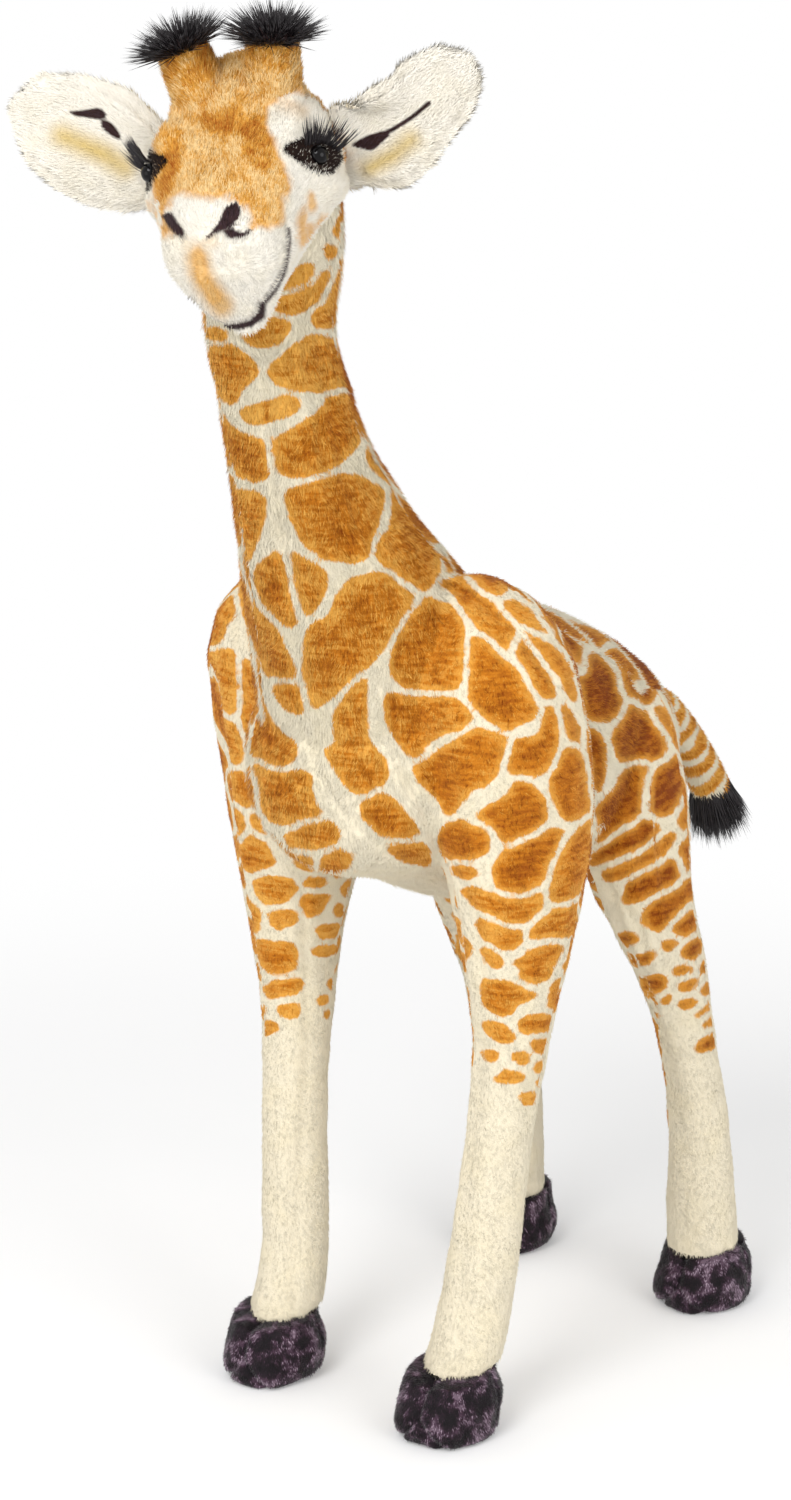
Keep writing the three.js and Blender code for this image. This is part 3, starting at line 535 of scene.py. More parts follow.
CHEST_PATCHES = """
263,566 275,554 285,550 293,562 299,596 300,616 295,623 281,614 269,600 262,584
291,550 307,558 323,570 326,582 319,602 309,610 303,608 297,590 293,566
221,592 235,585 243,590 238,614 236,620 229,626 228,640 221,645 207,646 206,628 210,606 214,597
240,574 251,580 261,606 275,618 289,648 299,668 299,676 285,678 272,670 265,652 255,628 247,610
    242,598
283,676 307,684 309,706 301,710 293,706 285,696 281,688
347,580 365,576 379,576 391,582 405,592 411,604 401,618 383,642 365,664 349,680 335,692 319,704
    311,700 308,680 310,652 309,632 317,622 331,614 337,598
399,620 409,608 423,600 435,606 449,610 459,620 464,632 465,652 463,676 455,688 435,690 415,687
    399,680 391,670 393,648 397,632
385,694 399,695 425,696 453,698 465,706 473,718 461,726 443,730 427,742 417,756 407,752 397,736
    387,716
365,674 366,688 365,700 366,720 367,738 375,750 385,762 388,774 383,782 373,788 365,792 355,788
    347,780 339,766 329,752 335,748 342,740 338,724 339,712 345,700 355,680
365,800 385,794 395,802 403,812 415,828 411,833 395,834 383,832 375,822 365,812
387,838 417,838 425,846 429,858 415,856 399,852 389,844
209,656 221,653 233,650 239,660 240,680 243,696 238,708 233,710 219,698 212,688 210,672
248,660 257,664 261,680 265,696 275,720 285,732 299,742 299,754 293,766 283,766 269,758 257,752
    253,738 249,716 247,692 247,672
212,700 221,714 233,720 241,728 247,740 248,748 243,760 237,756 227,742 217,734 213,720
219,756 226,764 232,780 230,790 224,772
233,772 243,770 261,780 261,798 255,804 243,800 235,788
261,764 275,772 313,772 313,792 319,806 325,813 315,818 295,820 279,819 272,810 265,796 261,780
304,821 331,819 343,832 335,840 319,844 303,846 293,840 293,833 305,830
323,856 335,850 351,850 359,852 353,864 339,872 331,874 323,868
295,854 305,849 319,858 313,865 299,864
347,872 359,852 355,876 350,900 337,900 338,884
236,802 245,812 248,828 245,838 239,828 235,812
256,812 262,816 268,826 265,830 258,822
245,838 255,832 265,840 269,850 275,860 265,862 255,868 247,860 244,850
"""
RIGHT_SHIN_PATCHES = """
258,879 269,874 275,874 289,876 294,881 296,893 288,897 275,901 268,900 261,891
301,879 309,876 321,874 324,879 315,884 305,883
295,893 309,892 326,893 328,899 316,907 309,914 301,911 298,903
328,900 338,897 345,899 341,910 335,916 329,910
272,910 284,909 298,907 298,913 292,920 281,926 274,920
252,897 258,903 265,909 264,916 262,930 256,929 254,914 251,903
312,926 326,923 339,921 338,929 328,933 321,937 315,933
262,938 272,939 281,940 291,941 295,951 295,967 284,970 269,968 266,957 262,949
309,949 318,942 332,946 329,950 319,954 312,951
335,940 341,933 341,940 339,944
331,964 338,953 341,951 340,964 335,972
269,987 278,979 289,977 299,976 300,984 295,991 284,993 275,996
258,967 265,971 264,981 259,981
322,981 329,977 336,984 334,990 325,987
312,999 319,994 324,999 318,1003
328,1000 335,994 335,1003 329,1004
282,1006 289,1003 296,1001 297,1010 294,1016 286,1014
265,1003 271,1006 269,1014 265,1010
266,1027 274,1019 281,1024 279,1030 272,1034 266,1030
319,1013 324,1009 325,1014 321,1017
328,1021 332,1017 331,1027 328,1024
260,1046 265,1049 264,1054
"""
FLANK_PATCHES = """
434,585 458,578 476,592 488,605 500,618 512,634 510,646 504,652 496,640 486,634 478,626 468,610
    456,598 444,590
473,642 480,642 490,652 500,664 512,666 520,674 526,696 532,710 528,716 516,720 504,728 496,720
    482,708 472,698 473,680 472,660
514,640 524,648 536,662 544,674 550,688 544,698 534,692 524,680 516,660
500,608 512,608 524,616 536,628 544,638 530,634 516,624 504,616
518,634 530,638 544,648 556,660 564,674 570,688 572,700 566,698 558,684 544,668 532,652 524,640
520,596 530,592 538,598 540,606 530,606 522,602
466,562 484,566 500,584 501,596 490,601 480,596 470,584
508,570 530,574 552,582 572,596 580,607 564,606 544,600 526,590
474,726 490,732 504,736 502,754 496,770 486,780 472,784 462,800 456,808 448,810 442,796 430,790
    420,780 414,768 426,760 446,750 462,738
540,708 546,704 552,720 552,736 548,752 544,766 528,774 512,770 504,766 508,750 514,738 530,738
    538,732
558,752 566,746 574,756 578,772 578,790 582,808 574,816 560,816 552,800 546,786 548,772 554,764
556,704 564,716 572,732 574,744 566,738 560,724
514,780 522,778 532,788 538,796 540,816 530,830 516,834 504,838 500,828 488,820 476,818 484,808
    500,800 508,792
442,828 456,822 466,818 480,822 489,832 486,848 474,854 458,855 448,848 440,838
512,846 530,836 548,828 558,830 554,844 546,856 540,872 530,888 512,890 500,884 494,868 500,856
568,838 580,820 589,818 589,840 582,854 578,878 570,894 552,898 546,894 550,876 554,856 560,840
460,864 470,864 480,870 472,875 462,870
584,888 588,886 589,894 585,896
"""
RUMP_PATCHES = """
580,590 604,606 628,628 618,636 600,628 584,612
536,618 550,615 560,622 570,632 576,650 579,672 572,664 560,648 548,634 540,624
562,612 574,616 590,626 604,636 612,646 608,650 594,650 580,640 570,626 564,618
580,660 590,660 600,668 610,680 614,696 614,712 608,720 584,720 580,708 576,696 572,680 582,680
612,656 622,656 632,670 644,684 652,696 646,704 640,706 626,698 616,686 618,676
626,704 636,712 646,720 658,736 660,744 656,754 644,760 626,758 616,760 612,752 608,736 614,722
    622,712
652,708 662,706 670,720 674,736 676,750 670,744 658,730 650,718
658,696 668,708 680,720 688,730 696,740 688,746 678,748 674,734 668,720 660,708
616,774 624,766 640,764 641,780 640,798 630,816 616,824 604,836 590,840 591,808 602,796 612,786
644,780 654,770 668,762 672,752 677,760 678,776 680,790 672,808 658,814 648,812 642,800
582,730 592,734 598,748 598,772 592,790 589,776 586,756 580,740
676,804 684,792 684,810 682,830 676,832 674,818
590,856 610,840 628,830 640,820 654,826 644,840 630,850 610,858 598,860
608,868 628,858 646,846 668,832 668,840 652,858 632,866 616,876 608,874
626,888 630,880 650,870 668,858 674,872 666,882 650,890 632,898 626,898
680,832 688,838 692,850 693,860 680,872 678,860 674,846 680,840
643,907 653,900 673,892 680,883 697,868 697,880 692,890 677,903 667,917 657,927 647,925 642,917
667,927 677,918 688,912 703,912 698,922 688,930 677,935 668,933
658,943 667,938 673,941 670,945 662,946
677,948 690,940 700,930 707,925 705,940 698,953 687,958 678,957
698,957 708,947 709,960 702,970 695,970
671,967 678,963 687,968 680,972 673,970
677,982 685,977 692,980 685,986 678,985
698,987 710,978 712,988 703,995 695,995
677,1000 690,997 698,1002 690,1005 680,1003
693,1007 702,1000 708,997 707,1007 700,1013 693,1013
700,1020 707,1013 712,1017 711,1025 702,1027
693,1045 702,1038 707,1030 712,1032 711,1043 700,1048
623,932 632,930 637,935 632,940 624,938
632,952 640,953 652,948 650,955 640,961 633,957
647,978 655,972 662,975 662,983 655,991 648,989 645,983
642,995 647,997 648,1003 643,1002
650,1013 663,1012 655,1020 651,1018
663,995 667,993 667,998
585,902 600,912 612,920 605,918 593,910
"""
LEFT_SHIN_PATCHES = """
467,887 477,885 487,890 502,894 518,895 533,890 540,892 537,903 528,915 518,920 508,918 493,910
    480,903 473,895
550,907 560,908 570,902 578,898 577,913 572,927 563,933 548,933 528,935 527,930 540,917
481,917 492,920 502,927 520,928 520,937 512,945 502,945 492,938 485,930
527,948 540,945 553,942 557,948 548,963 543,975 533,980 518,979 518,970 522,965 512,960 518,957
486,945 493,948 502,957 502,963 493,962 487,952
558,957 567,948 573,938 572,950 568,965 558,967
487,977 502,978 518,980 523,987 532,992 523,997 515,1000 510,1010 500,1012 492,1005 487,998
548,980 560,976 568,978 565,990 560,1000 548,1008 543,1007 545,995
520,1015 535,1012 550,1012 553,1018 547,1027 537,1028 522,1029 517,1023
488,1020 500,1020 508,1027 512,1035 507,1040 497,1035 490,1027
527,1040 537,1038 547,1038 545,1045 538,1052 530,1048
488,1050 498,1048 498,1057 492,1058
513,1052 522,1050 525,1058 520,1062 515,1057
530,1062 538,1058 540,1063 535,1070 530,1068
545,1062 552,1057 550,1065 547,1070 543,1067
500,1075 508,1068 520,1073 517,1078 505,1079 498,1078
532,1080 538,1078 540,1085 533,1087
518,1092 530,1090 530,1100 520,1102
460,928 467,933 475,943 475,952 470,959 463,953 460,940
455,907 462,913 467,922 462,918 457,912
440,880 448,890 457,898 450,895 443,887
465,967 468,972 467,980 466,972
467,988 470,995 467,1000 466,993
"""
# The seams that the photograph shows, and how strongly each of them is drawn
SEAMS = (
    ("269,380 270,410 274,450 277,475 280,510 284,540 290,560 296,590 300,616 302,650 "
     "306,690", 1.0),
    ("398,640 392,690 394,730 400,760 412,786 430,826 440,848 460,872 477,903 483,930 486,967 "
     "485,1017 483,1050 482,1097 477,1123 472,1200 466,1290 458,1370", 0.7),
    ("440,588 462,594 480,604 500,622 520,645 545,675 560,700 576,735 586,760 590,800 "
     "590,838", 1.0),
    ("598,868 615,892 640,925 652,990 660,1050 668,1120 672,1240", 0.7),
    ("306,720 322,770 350,815 392,850 440,872", 0.7),
    ("300,880 306,960 306,1040 300,1150 292,1300", 0.6),
    ("236,575 240,620 246,680 258,740", 0.6),
)
seams = Drawing()
for line, depth in SEAMS:
    seams.stroke(line, 0.0, depth)
coat = Drawing()
tones = np.random.default_rng(5)
# The tone runs from gold to brown, and each outline grows by some pixels, as it was read inside
# the patch
for patches, tone, grown in (
    (NECK_PATCHES, 0.34, 3.6), (PALE_NECK_PATCHES, 0.12, 2.0), (CHEST_PATCHES, 0.42, 3.6),
    (RIGHT_SHIN_PATCHES, 0.42, 2.2), (FLANK_PATCHES, 0.56, 3.6), (RUMP_PATCHES, 0.8, 3.4),
    (LEFT_SHIN_PATCHES, 0.48, 2.4),
):
    for outline in outlines(patches):
        coat.patch(outline, tone + tones.uniform(-0.08, 0.08), grown)
coat.lined(5.5)

PIXELS_PER_METRE = PHOTO_FOCUS / PHOTO_DISTANCE
LEAST_FACING = 0.32  # as a cosine: surfaces more aslant than this take their coat elsewhere
SEAM_SLOPE = 0.35  # metres of cover over which a surface turns away by a cosine of 1
UNDER_PILE = 0.005  # how far under the skin the drawing is looked up, to reach round its edges


def facing(places, normals):
    return (unit(lens_place - places) * normals).sum(1)


FLIP = np.array([-1.0, 1.0, 1.0])


def mirrored_body(places):
    return places * FLIP + np.array([2 * MIDDLE_X, 0, 0])


def looked_up(drawing, places, normals, mirror=mirrored_body, turn=lambda n: n * FLIP,
              least=LEAST_FACING):
    """A drawing's depth in metres and tone, from the photograph's side or else mirrored, and how
    far each place is inside the part that each way serves, as a cosine, below 0 in neither."""
    other_side, other_normals = mirror(places), turn(normals)
    seen = facing(places, normals) - least
    seen_mirrored = facing(other_side, other_normals) - least
    depth, tone = drawing.at(*in_photo(places - UNDER_PILE * normals))
    other, other_tone = drawing.at(*in_photo(other_side - UNDER_PILE * other_normals))
    use = (seen <= 0) & (seen_mirrored > 0)
    depth, tone = np.where(use, other, depth), np.where(use, other_tone, tone)
    edge = np.where(use, np.minimum(-seen, seen_mirrored), seen)
    edge = np.where((seen <= 0) & (seen_mirrored <= 0), np.maximum(seen, seen_mirrored), edge)
    return depth / PIXELS_PER_METRE, tone, edge


CELL_SHIFT = 0.42  # of a cell's size, by which its middle strays from an even grid


def cells(places, size, stretch, seed):
    """Patches where the photograph shows none: how deep in its patch each place lies, in metres,
    a number from 0 to 1 for the patch, and the height of its middle."""
    draw = np.random.default_rng(seed)
    warped = places * stretch
    low, high = warped.min(0) - size, warped.max(0) + size
    steps = [np.arange(a, b, size) for a, b in zip(low, high)]
    seeds = np.stack(np.meshgrid(*steps, indexing="ij"), -1).reshape(-1, 3)
    seeds = seeds + draw.uniform(-CELL_SHIFT, CELL_SHIFT, seeds.shape) * size
    tree = tree_of(seeds)
    found = [tree.find_n(p, 2) for p in warped]
    near = np.array([f[0][2] for f in found])
    far = np.array([f[1][2] for f in found])
    which = np.array([f[0][1] for f in found])
    return (far - near) / 2, draw.uniform(0, 1, len(seeds))[which], seeds[which][:, 2] / stretch[2]


CELL_SIZE = 0.052
SHIN_CELL_SIZE = 0.025
CELL_GAP = 0.0027  # half the gap between two patches
EDGE_GAP = 0.0012  # the same where the drawing ends and the guessed patches begin
CELL_STRETCH, SHIN_CELL_STRETCH = np.array([1.0, 1.0, 0.85]), np.array([1.0, 1.0, 1.2])
CELL_BEND = 0.006  # by which the cells are bent, so that their sides aren't straight
SHIN_CELL_GAIN, LOW_CELL_LOSS = 0.0006, 0.006
BARRED = 0.03  # deeper than any patch is, so that none is left
EDGE_WANDER = 0.001  # by which the patches' edges wander, as the pile is knitted and cut
SHIN_TOP, PATCH_FLOOR = 0.36, 0.22  # below the first the patches are small, below the other none


def coat_at(places, normals):
    """Depth inside a tan patch in millimetres, below 0 in the cream, and the patch's tone."""
    wobble = np.stack([0.5 * ripple(places, 0.004, s) + 0.6 * ripple(places, 0.0014, s + 3)
                       for s in (11, 12, 13)], 1) * EDGE_WANDER
    depth, tone, edge = looked_up(coat, places + wobble, normals)
    rest = edge <= 0
    if rest.any():
        here, out = places[rest], normals[rest]
        bend = np.stack([ripple(here, 0.03, s) for s in (21, 22, 23)], 1) * CELL_BEND
        inner, shade, middle = cells(here + bend, CELL_SIZE, CELL_STRETCH, seed=6)
        small, small_shade, _ = cells(here + 0.5 * bend, SHIN_CELL_SIZE, SHIN_CELL_STRETCH, seed=8)
        high = middle > SHIN_TOP  # a patch is large or small as a whole
        inner = np.where(high, inner, small + SHIN_CELL_GAIN) - CELL_GAP
        shade = np.where(high, shade, small_shade)
        low = step(here[:, 2], PATCH_FLOOR, SHIN_TOP)
        inner = inner - LOW_CELL_LOSS * (1 - low) - BARRED * (here[:, 2] < PATCH_FLOOR)
        belly = step(-out[:, 2], 0.3, 0.6) * step(here[:, 2], 0.3, 0.34) * (here[:, 2] < 0.46)
        depth[rest] = inner - BARRED * belly
        tone[rest] = 0.5 + 0.3 * shade
    depth = np.minimum(depth, SEAM_SLOPE * np.abs(edge) - EDGE_GAP)
    return 1000 * depth, tone


def spikes(roots, ways, ups, length, width, thick, droop=None, rings=1):
    """Closed three-sided locks of pile or hair, each on its root, as corners and faces."""
    ups = unit(ups - ways * (ups * ways).sum(1, keepdims=True))
    sides = np.cross(ups, ways)
    length, width, thick = (np.broadcast_to(v, len(roots))[:, None] for v in (length, width, thick))
    droop = np.zeros_like(roots) if droop is None else droop
    rows = []
    for ring in range(rings):
        share = ring / rings
        middle = roots + ways * length * share + droop * share ** 2
        slim = 1 - 0.55 * share
        rows += [middle - sides * width * slim / 2, middle + sides * width * slim / 2,
                 middle + ups * thick * slim]
    rows.append(roots + ways * length + droop)
    faces = [(0, 2, 1)]
    for ring in range(rings - 1):
        for a, b in ((0, 1), (1, 2), (2, 0)):
            a, b = 3 * ring + a, 3 * ring + b
            faces += [(a, b, b + 3), (a, b + 3, a + 3)]
    last = 3 * (rings - 1)
    point = 3 * rings
    faces += [(last, last + 1, point), (last + 1, last + 2, point), (last + 2, last, point)]
    places = np.stack(rows, 1)
    per = places.shape[1]
    faces = (np.array(faces)[None] + per * np.arange(len(roots))[:, None, None]).reshape(-1, 3)
    tip = np.tile(np.append(np.repeat(np.arange(rings) / rings, 3), 1.0), len(roots))
    return places.reshape(-1, 3), faces, tip, per


def built(name, places, faces, normals=None, attributes=None, spots=None):
    """A new object from arrays of corners and triangles, with soft normals and named values."""
    me = bpy.data.meshes.new(name)
    me.vertices.add(len(places))
    me.vertices.foreach_set("co", np.ascontiguousarray(places, np.float32).ravel())
    me.loops.add(3 * len(faces))
    me.loops.foreach_set("vertex_index", np.ascontiguousarray(faces, np.int32).ravel())
    me.polygons.add(len(faces))
    me.polygons.foreach_set("loop_start", np.arange(0, 3 * len(faces), 3, dtype=np.int32))
    me.polygons.foreach_set("use_smooth", np.ones(len(faces), bool))
    if spots is not None:
        layer = me.uv_layers.new(name="OFBake")
        layer.uv.foreach_set("vector", np.ascontiguousarray(spots, np.float32).ravel())
    for key, values in (attributes or {}).items():
        layer = me.attributes.new(key, "FLOAT", "POINT")
        layer.data.foreach_set("value", np.ascontiguousarray(values, np.float32))
    me.update(calc_edges=True)
    if normals is not None:
        me.normals_split_custom_set_from_vertices(unit(normals).astype(np.float32))
    return linked(name, me)


def mapped_triangles(o):
    """Lays a cover out flat on a map. Gives its triangles by corner, and where each corner of them
    lies on the map."""
    me = o.data
    me.uv_layers.new(name="OFBake")
    with editing(o):
        bpy.ops.uv.smart_project(angle_limit=1.15, island_margin=0.004, scale_to_bounds=True)
    me.calc_loop_triangles()
    loops = gathered(me.loop_triangles, "loops", 3, np.int32)
    spots = gathered(me.uv_layers.active.uv, "vector", 2, np.float32)
    return corner_numbers(me.loop_triangles, 3), spots[loops]


LIT_WAY = unit(np.array([0.25, -0.75, 0.6]))  # light soaks through pile, so it leans to this side
PILE_SINK = 0.0006  # how deep in the skin a lock's foot is
PILE_THICK = 0.3  # of a lock's width
MAP_DOT = 0.0006  # the size of a lock's faces on the map, which takes their colour from the skin
BACKING_SHADE = 0.42  # of the backing under the locks, which have shades from 0 to 1


def piled(o, material, per_square_cm, length, width, lie, flow, paint, seed, softness=0.75,
          bare=None, normals_from=None, stray=0.2, glow=0.1, even_from=None):
    """Grows closed locks of pile on a cover. lie is their angle over the skin in degrees, flow
    gives the way they lie, and paint gives the named values of the coat at any place, from the
    normals of even_from where it is given."""
    tris, spots = mapped_triangles(o)
    draw = np.random.default_rng(seed)
    places, normals = corners(o), corner_normals(o)
    if normals_from is not None:
        normals = normals_from(places)
    a, b, c = (places[tris[:, i]] for i in range(3))
    area = np.linalg.norm(np.cross(b - a, c - a), axis=1) / 2
    if bare is not None:
        area = area * ~bare((a + b + c) / 3)
    count = int(area.sum() * 1e4 * per_square_cm)
    chosen = draw.choice(len(tris), count, p=area / area.sum())
    share = draw.dirichlet((1, 1, 1), count)
    root = (places[tris[chosen]] * share[:, :, None]).sum(1)
    normal = unit((normals[tris[chosen]] * share[:, :, None]).sum(1))
    spot = (spots[chosen] * share[:, :, None]).sum(1)
    way = flow(root, normal)
    way = unit(way - normal * (way * normal).sum(1, keepdims=True))
    side = np.cross(normal, way)
    turn = stray * (1.3 * ripple(root, 0.014, seed + 50) + draw.normal(0, 1, count))
    lean = np.radians(lie) * draw.uniform(0.6, 1.4, count)
    way = way * np.cos(turn)[:, None] + side * np.sin(turn)[:, None]
    way = way * np.cos(lean)[:, None] + normal * np.sin(lean)[:, None]
    size = draw.uniform(0.72, 1.15, count)
    girth = width * draw.uniform(0.75, 1.25, count)
    tips, faces, tip, per = spikes(root - normal * PILE_SINK, way, normal, length * size, girth,
                                   girth * PILE_THICK)
    own = np.repeat(normal * softness + way * 0.12 + glow * LIT_WAY, per, axis=0)
    fan = np.tile(np.array([-0.5, 0.5, 0, 0]), count)[:, None] * np.repeat(side, per, axis=0)
    lock_normals = own + (1 - softness) * fan
    reach = way * (length * size)[:, None]
    even = normals if even_from is None else even_from(places)
    over = unit((even[tris[chosen]] * share[:, :, None]).sum(1))
    values = paint(np.concatenate([places, root + 0.2 * reach, root + 0.8 * reach]),
                   np.concatenate([even, over, over]))
    named = {}
    for key, row in values.items():
        on_skin, low, high = np.split(row, [len(places), len(places) + count])
        own = np.stack([low, low, low, high], 1).ravel()
        named[key] = np.concatenate([on_skin, own])
    named["strand"] = np.concatenate(
        [np.full(len(places), BACKING_SHADE), np.repeat(draw.random(count), per)])
    named["tip"] = np.concatenate([np.zeros(len(places)), tip])
    dot = MAP_DOT * np.array([[0, 0], [1, 0], [0, 1]])
    lock_spots = np.repeat(spot, len(faces) // count, axis=0)[:, None, :] + dot
    made = built(
        o.name, np.concatenate([places, tips]), np.concatenate([tris, faces + len(places)]),
        np.concatenate([normals, lock_normals]), named,
        np.clip(np.concatenate([spots, lock_spots]), 0, 1))
    name = o.name
    bpy.data.objects.remove(o)
    made.name = name
    made.data.materials.append(material)
    return made


def plush(name, cream="ddd2b6", pale="e2a84e", mid="bd7218", dark="803a02", ink="1c1418",
          edge=0.8, ink_edge=0.5, streak=(1, 1, 4), painted_root_shade=0.07, mottle=0.6, core=0.22,
          wash="c8922e", ink_light="3c2d34"):
    """Cut pile in tan and cream: streaked along the nap, paler at each patch's edge. The tan has
    streaks of painted shade where the pile parts, and each lock is painted darker towards its root
    as painted shade down in the pile.
    """
    finish = Finish(name, Roughness=0.9, Sheen_Weight=0.05, Sheen_Roughness=0.5,
                    Specular_IOR_Level=0.12)
    depth, tone = finish.attribute("patch"), finish.attribute("tone")
    strand, tip = finish.attribute("strand"), finish.attribute("tip")
    blotch, grain = finish.noise(45, 3), finish.noise(800, 3)
    # Streaks of painted shade in the tan, where the pile parts and shades itself
    pile_parting_shade = finish.noise(78, 4, streak).ramp(0.4, 0.66)
    level = (tone + 0.6 * (strand - 0.5) + mottle * (blotch - 0.5) + 0.45 * (grain - 0.5)
             + 0.3 * (pile_parting_shade - 0.5) + core * (depth.ramp(1.0, 11.0) - 0.5))
    tan = finish.node("ShaderNodeValToRGB", {"stops": [
        (0.0, linear(pale)), (0.42, linear(mid)), (0.95, linear(dark))]}, {"Fac": level}, "Color")
    rim = 1 - depth.ramp(0.3, 5.0)
    tan = finish.mix(rim * 0.7, tan, linear("dc9c40"))
    light = finish.mix(0.25 * strand + 0.5 * grain, linear(cream), linear("eae3d0"))
    light = finish.mix((1 - blotch.ramp(0.3, 0.62)) * 0.22, light, linear("e3d6b0"))
    light = finish.mix(finish.attribute("wash") * (0.62 + 0.76 * blotch), light, linear(wash))
    colour = finish.mix(depth.ramp(-edge, edge), light, tan)
    black = finish.attribute("ink").ramp(-ink_edge, ink_edge)
    colour = finish.mix(black, colour, finish.mix(strand, linear(ink), linear(ink_light)))
    # Each lock, tan or cream, is painted darker brown towards its root: painted shade down in the
    # pile
    colour = finish.mix((1 - tip) * painted_root_shade, colour, linear("7a4a12"))
    return finish.feed(
        Base_Color=colour, Roughness=0.78 + 0.2 * grain,
        Normal=finish.bump(grain + 0.5 * finish.noise(2200, 2), 0.0006, 0.7))


def nap(places, normals):
    """Pile on the body lies back and down, on the legs and neck it lies down."""
    x, y, z = places.T
    back = (step(z, 0.36, 0.47) * (1 - step(z, 0.53, 0.61)) * step(y, -0.17, -0.05)
            * (1 - step(y, 0.13, 0.2)))
    down = np.array([0, 0.12, -1.0])
    along = np.array([0, 1.0, -0.55])
    return back[:, None] * along + (1 - back)[:, None] * down


def coat_values(places, patch=-9.0, tone=0.0, ink=-9.0, **others):
    """The named values of the coat at these places: far outside patch and ink unless told."""
    named = {"patch": patch, "tone": tone, "ink": ink, **others}
    return {name: values + np.zeros(len(places)) for name, values in named.items()}


def at_seams(places, normals, width):
    """From 0 to the seam's own strength, within this width of a seam that the photograph shows."""
    away, strength, edge = looked_up(seams, places, normals)
    return strength * np.exp(-((away / width) ** 2)) * step(edge, 0.0, 0.15)


def body_paint(places, normals):
    depth, tone = coat_at(places, normals)
    return coat_values(places, depth, tone + 0.5 * at_seams(places, normals, SEAM_LINE))


# Where the stuffed covers are slimmer than the CAD solids: from which rows of the photograph,
# fully between which, to which, right of which column, on which side, and by how much
SLIMMING = (
    (650, 745, 850, 990, 600, 1, 0.011), (255, 345, 500, 620, 0, 1, 0.0105),
    (255, 330, 560, 640, 0, -1, 0.0035), (860, 940, 1080, 1200, 545, -1, 0.006),
)
SLIMMING_FADE = 90  # pixels past that column over which the slimming sets in


def slimming(places, normals):
    side = (places[:, 0] > MIDDLE_X)[:, None]
    across, down = in_photo(np.where(side, places, mirrored_body(places)))
    outward = np.where(side, normals, normals * FLIP) @ right_way
    return sum(amount * step(down, start, full) * (1 - step(down, fading, end))
               * step(across, column, column + SLIMMING_FADE) * step(way * outward, 0.0, 0.75)
               for start, full, fading, end, column, way, amount in SLIMMING)


plush_material = plush("two_colour_plush")
SEAM_DEPTH, SEAM_WIDTH, SEAM_LINE = 0.0026, 0.0034, 0.0013  # of the fold, and its dark line
NECK_RISE = np.array([0.0124, -0.0157, 0.04])  # how far the neck's end is drawn up into the head
NECK_TOP = np.array([0.006, -0.246, 0.89])
STUFFING_LUMPS, COVER_DENTS = 0.0011, 0.0005
places, normals = corners(skin), corner_normals(skin)
fold = SEAM_DEPTH * at_seams(places, normals, SEAM_WIDTH)
lumps = STUFFING_LUMPS * ripple(places, 0.05, 3) + COVER_DENTS * ripple(places, 0.018, 4)
places = places - normals * slimming(places, normals)[:, None]
places += step(places[:, 2], 0.785, 0.846)[:, None] * NECK_RISE
rounding = step(places[:, 2], 0.86, 0.89)[:, None]
places += 0.5 * rounding * (NECK_TOP - places) * np.array([1, 1, 0])
move_corners(skin, places)
even_ways = corner_normals(skin)
move_corners(skin, places + normals * (lumps - fold)[:, None])
SOLE_SEAM = 0.044  # the lowest the leg covers reach, inside the hooves
NECK_END = 0.88  # where the neck's cover ends, inside the head
TURNED_IN = 0.004  # how far the covers' open edges are turned in under the skin
CLOSING_DEPTH = 0.0012  # what lies deeper than this under the skin grows no pile
places = corners(skin)
skin_tree = BVHTree.FromPolygons([Vector(p) for p in places], [tuple(f) for f in faces])
skin_spots = tree_of(places)
skin_ways = corner_normals(skin)


def skin_normals(spots):
    """The whole skin's normals, so that no line shows where two covers meet."""
    return skin_ways[[skin_spots.find(p)[1] for p in spots]]


def even_normals(spots):
    """The skin's normals without its folds and lumps, for the drawing of the coat."""
    return even_ways[[skin_spots.find(p)[1] for p in spots]]


def cut_flat(o, height, above):
    """Cuts a cover off level at a height and closes it there."""
    with editing(o, "SELECT", "VERT"):
        bpy.ops.mesh.bisect(plane_co=(0, 0, height), plane_no=(0, 0, 1), use_fill=True,
                            clear_outer=above, clear_inner=not above)


def close_holes(o):
    """Turns a cover's open edges in under the skin and closes it there."""
    with editing(o, "DESELECT", "VERT"):
        bpy.ops.mesh.select_non_manifold(extend=False, use_wire=False, use_multi_face=False,
                                         use_non_contiguous=False, use_verts=False)
        bpy.ops.mesh.extrude_edges_move()
    turned_in = gathered(o.data.vertices, "select", 1, bool)[:, 0]
    spots = corners(o)
    if turned_in.any():
        spots[turned_in] -= TURNED_IN * skin_normals(spots[turned_in])
        move_corners(o, spots)
    with editing(o):
        bpy.ops.mesh.fill_holes(sides=0)
        bpy.ops.mesh.quads_convert_to_tris()
        bpy.ops.mesh.select_all(action="SELECT")
        bpy.ops.mesh.normals_make_consistent(inside=False)


def inside_skin(centres):
    """Which of these places lie under the whole skin, as the closings of the covers do."""
    return np.array([skin_tree.find_nearest(p)[3] for p in centres]) > CLOSING_DEPTH


# Locks to a square centimetre, their length and width, and their angle over the skin
PILE = {"torso": (36, 0.0068, 0.001, 21), "neck": (52, 0.0068, 0.001, 21)}
LEG_PILE = (33, 0.0052, 0.001, 14)
for number, name in enumerate(("torso", "neck", *LIMBS)):
    cover = linked(f"{name}_cover", skin.data.copy())
    delete(cover, "FACE", face_owner != number)
    keep_largest(cover)
    if name == "neck":
        cut_flat(cover, NECK_END, True)
    elif name != "torso":
        cut_flat(cover, SOLE_SEAM, False)
    close_holes(cover)
    cover = piled(cover, plush_material, *PILE.get(name, LEG_PILE), nap, body_paint,
                  seed=30 + number, softness=0.94, bare=inside_skin, normals_from=skin_normals,
                  stray=0.3, even_from=even_normals)
    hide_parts({"torso": "body"}.get(name, name))
    if name == "neck":
        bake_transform(cover)
    else:
        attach(cover, "animal")
bpy.data.objects.remove(skin)

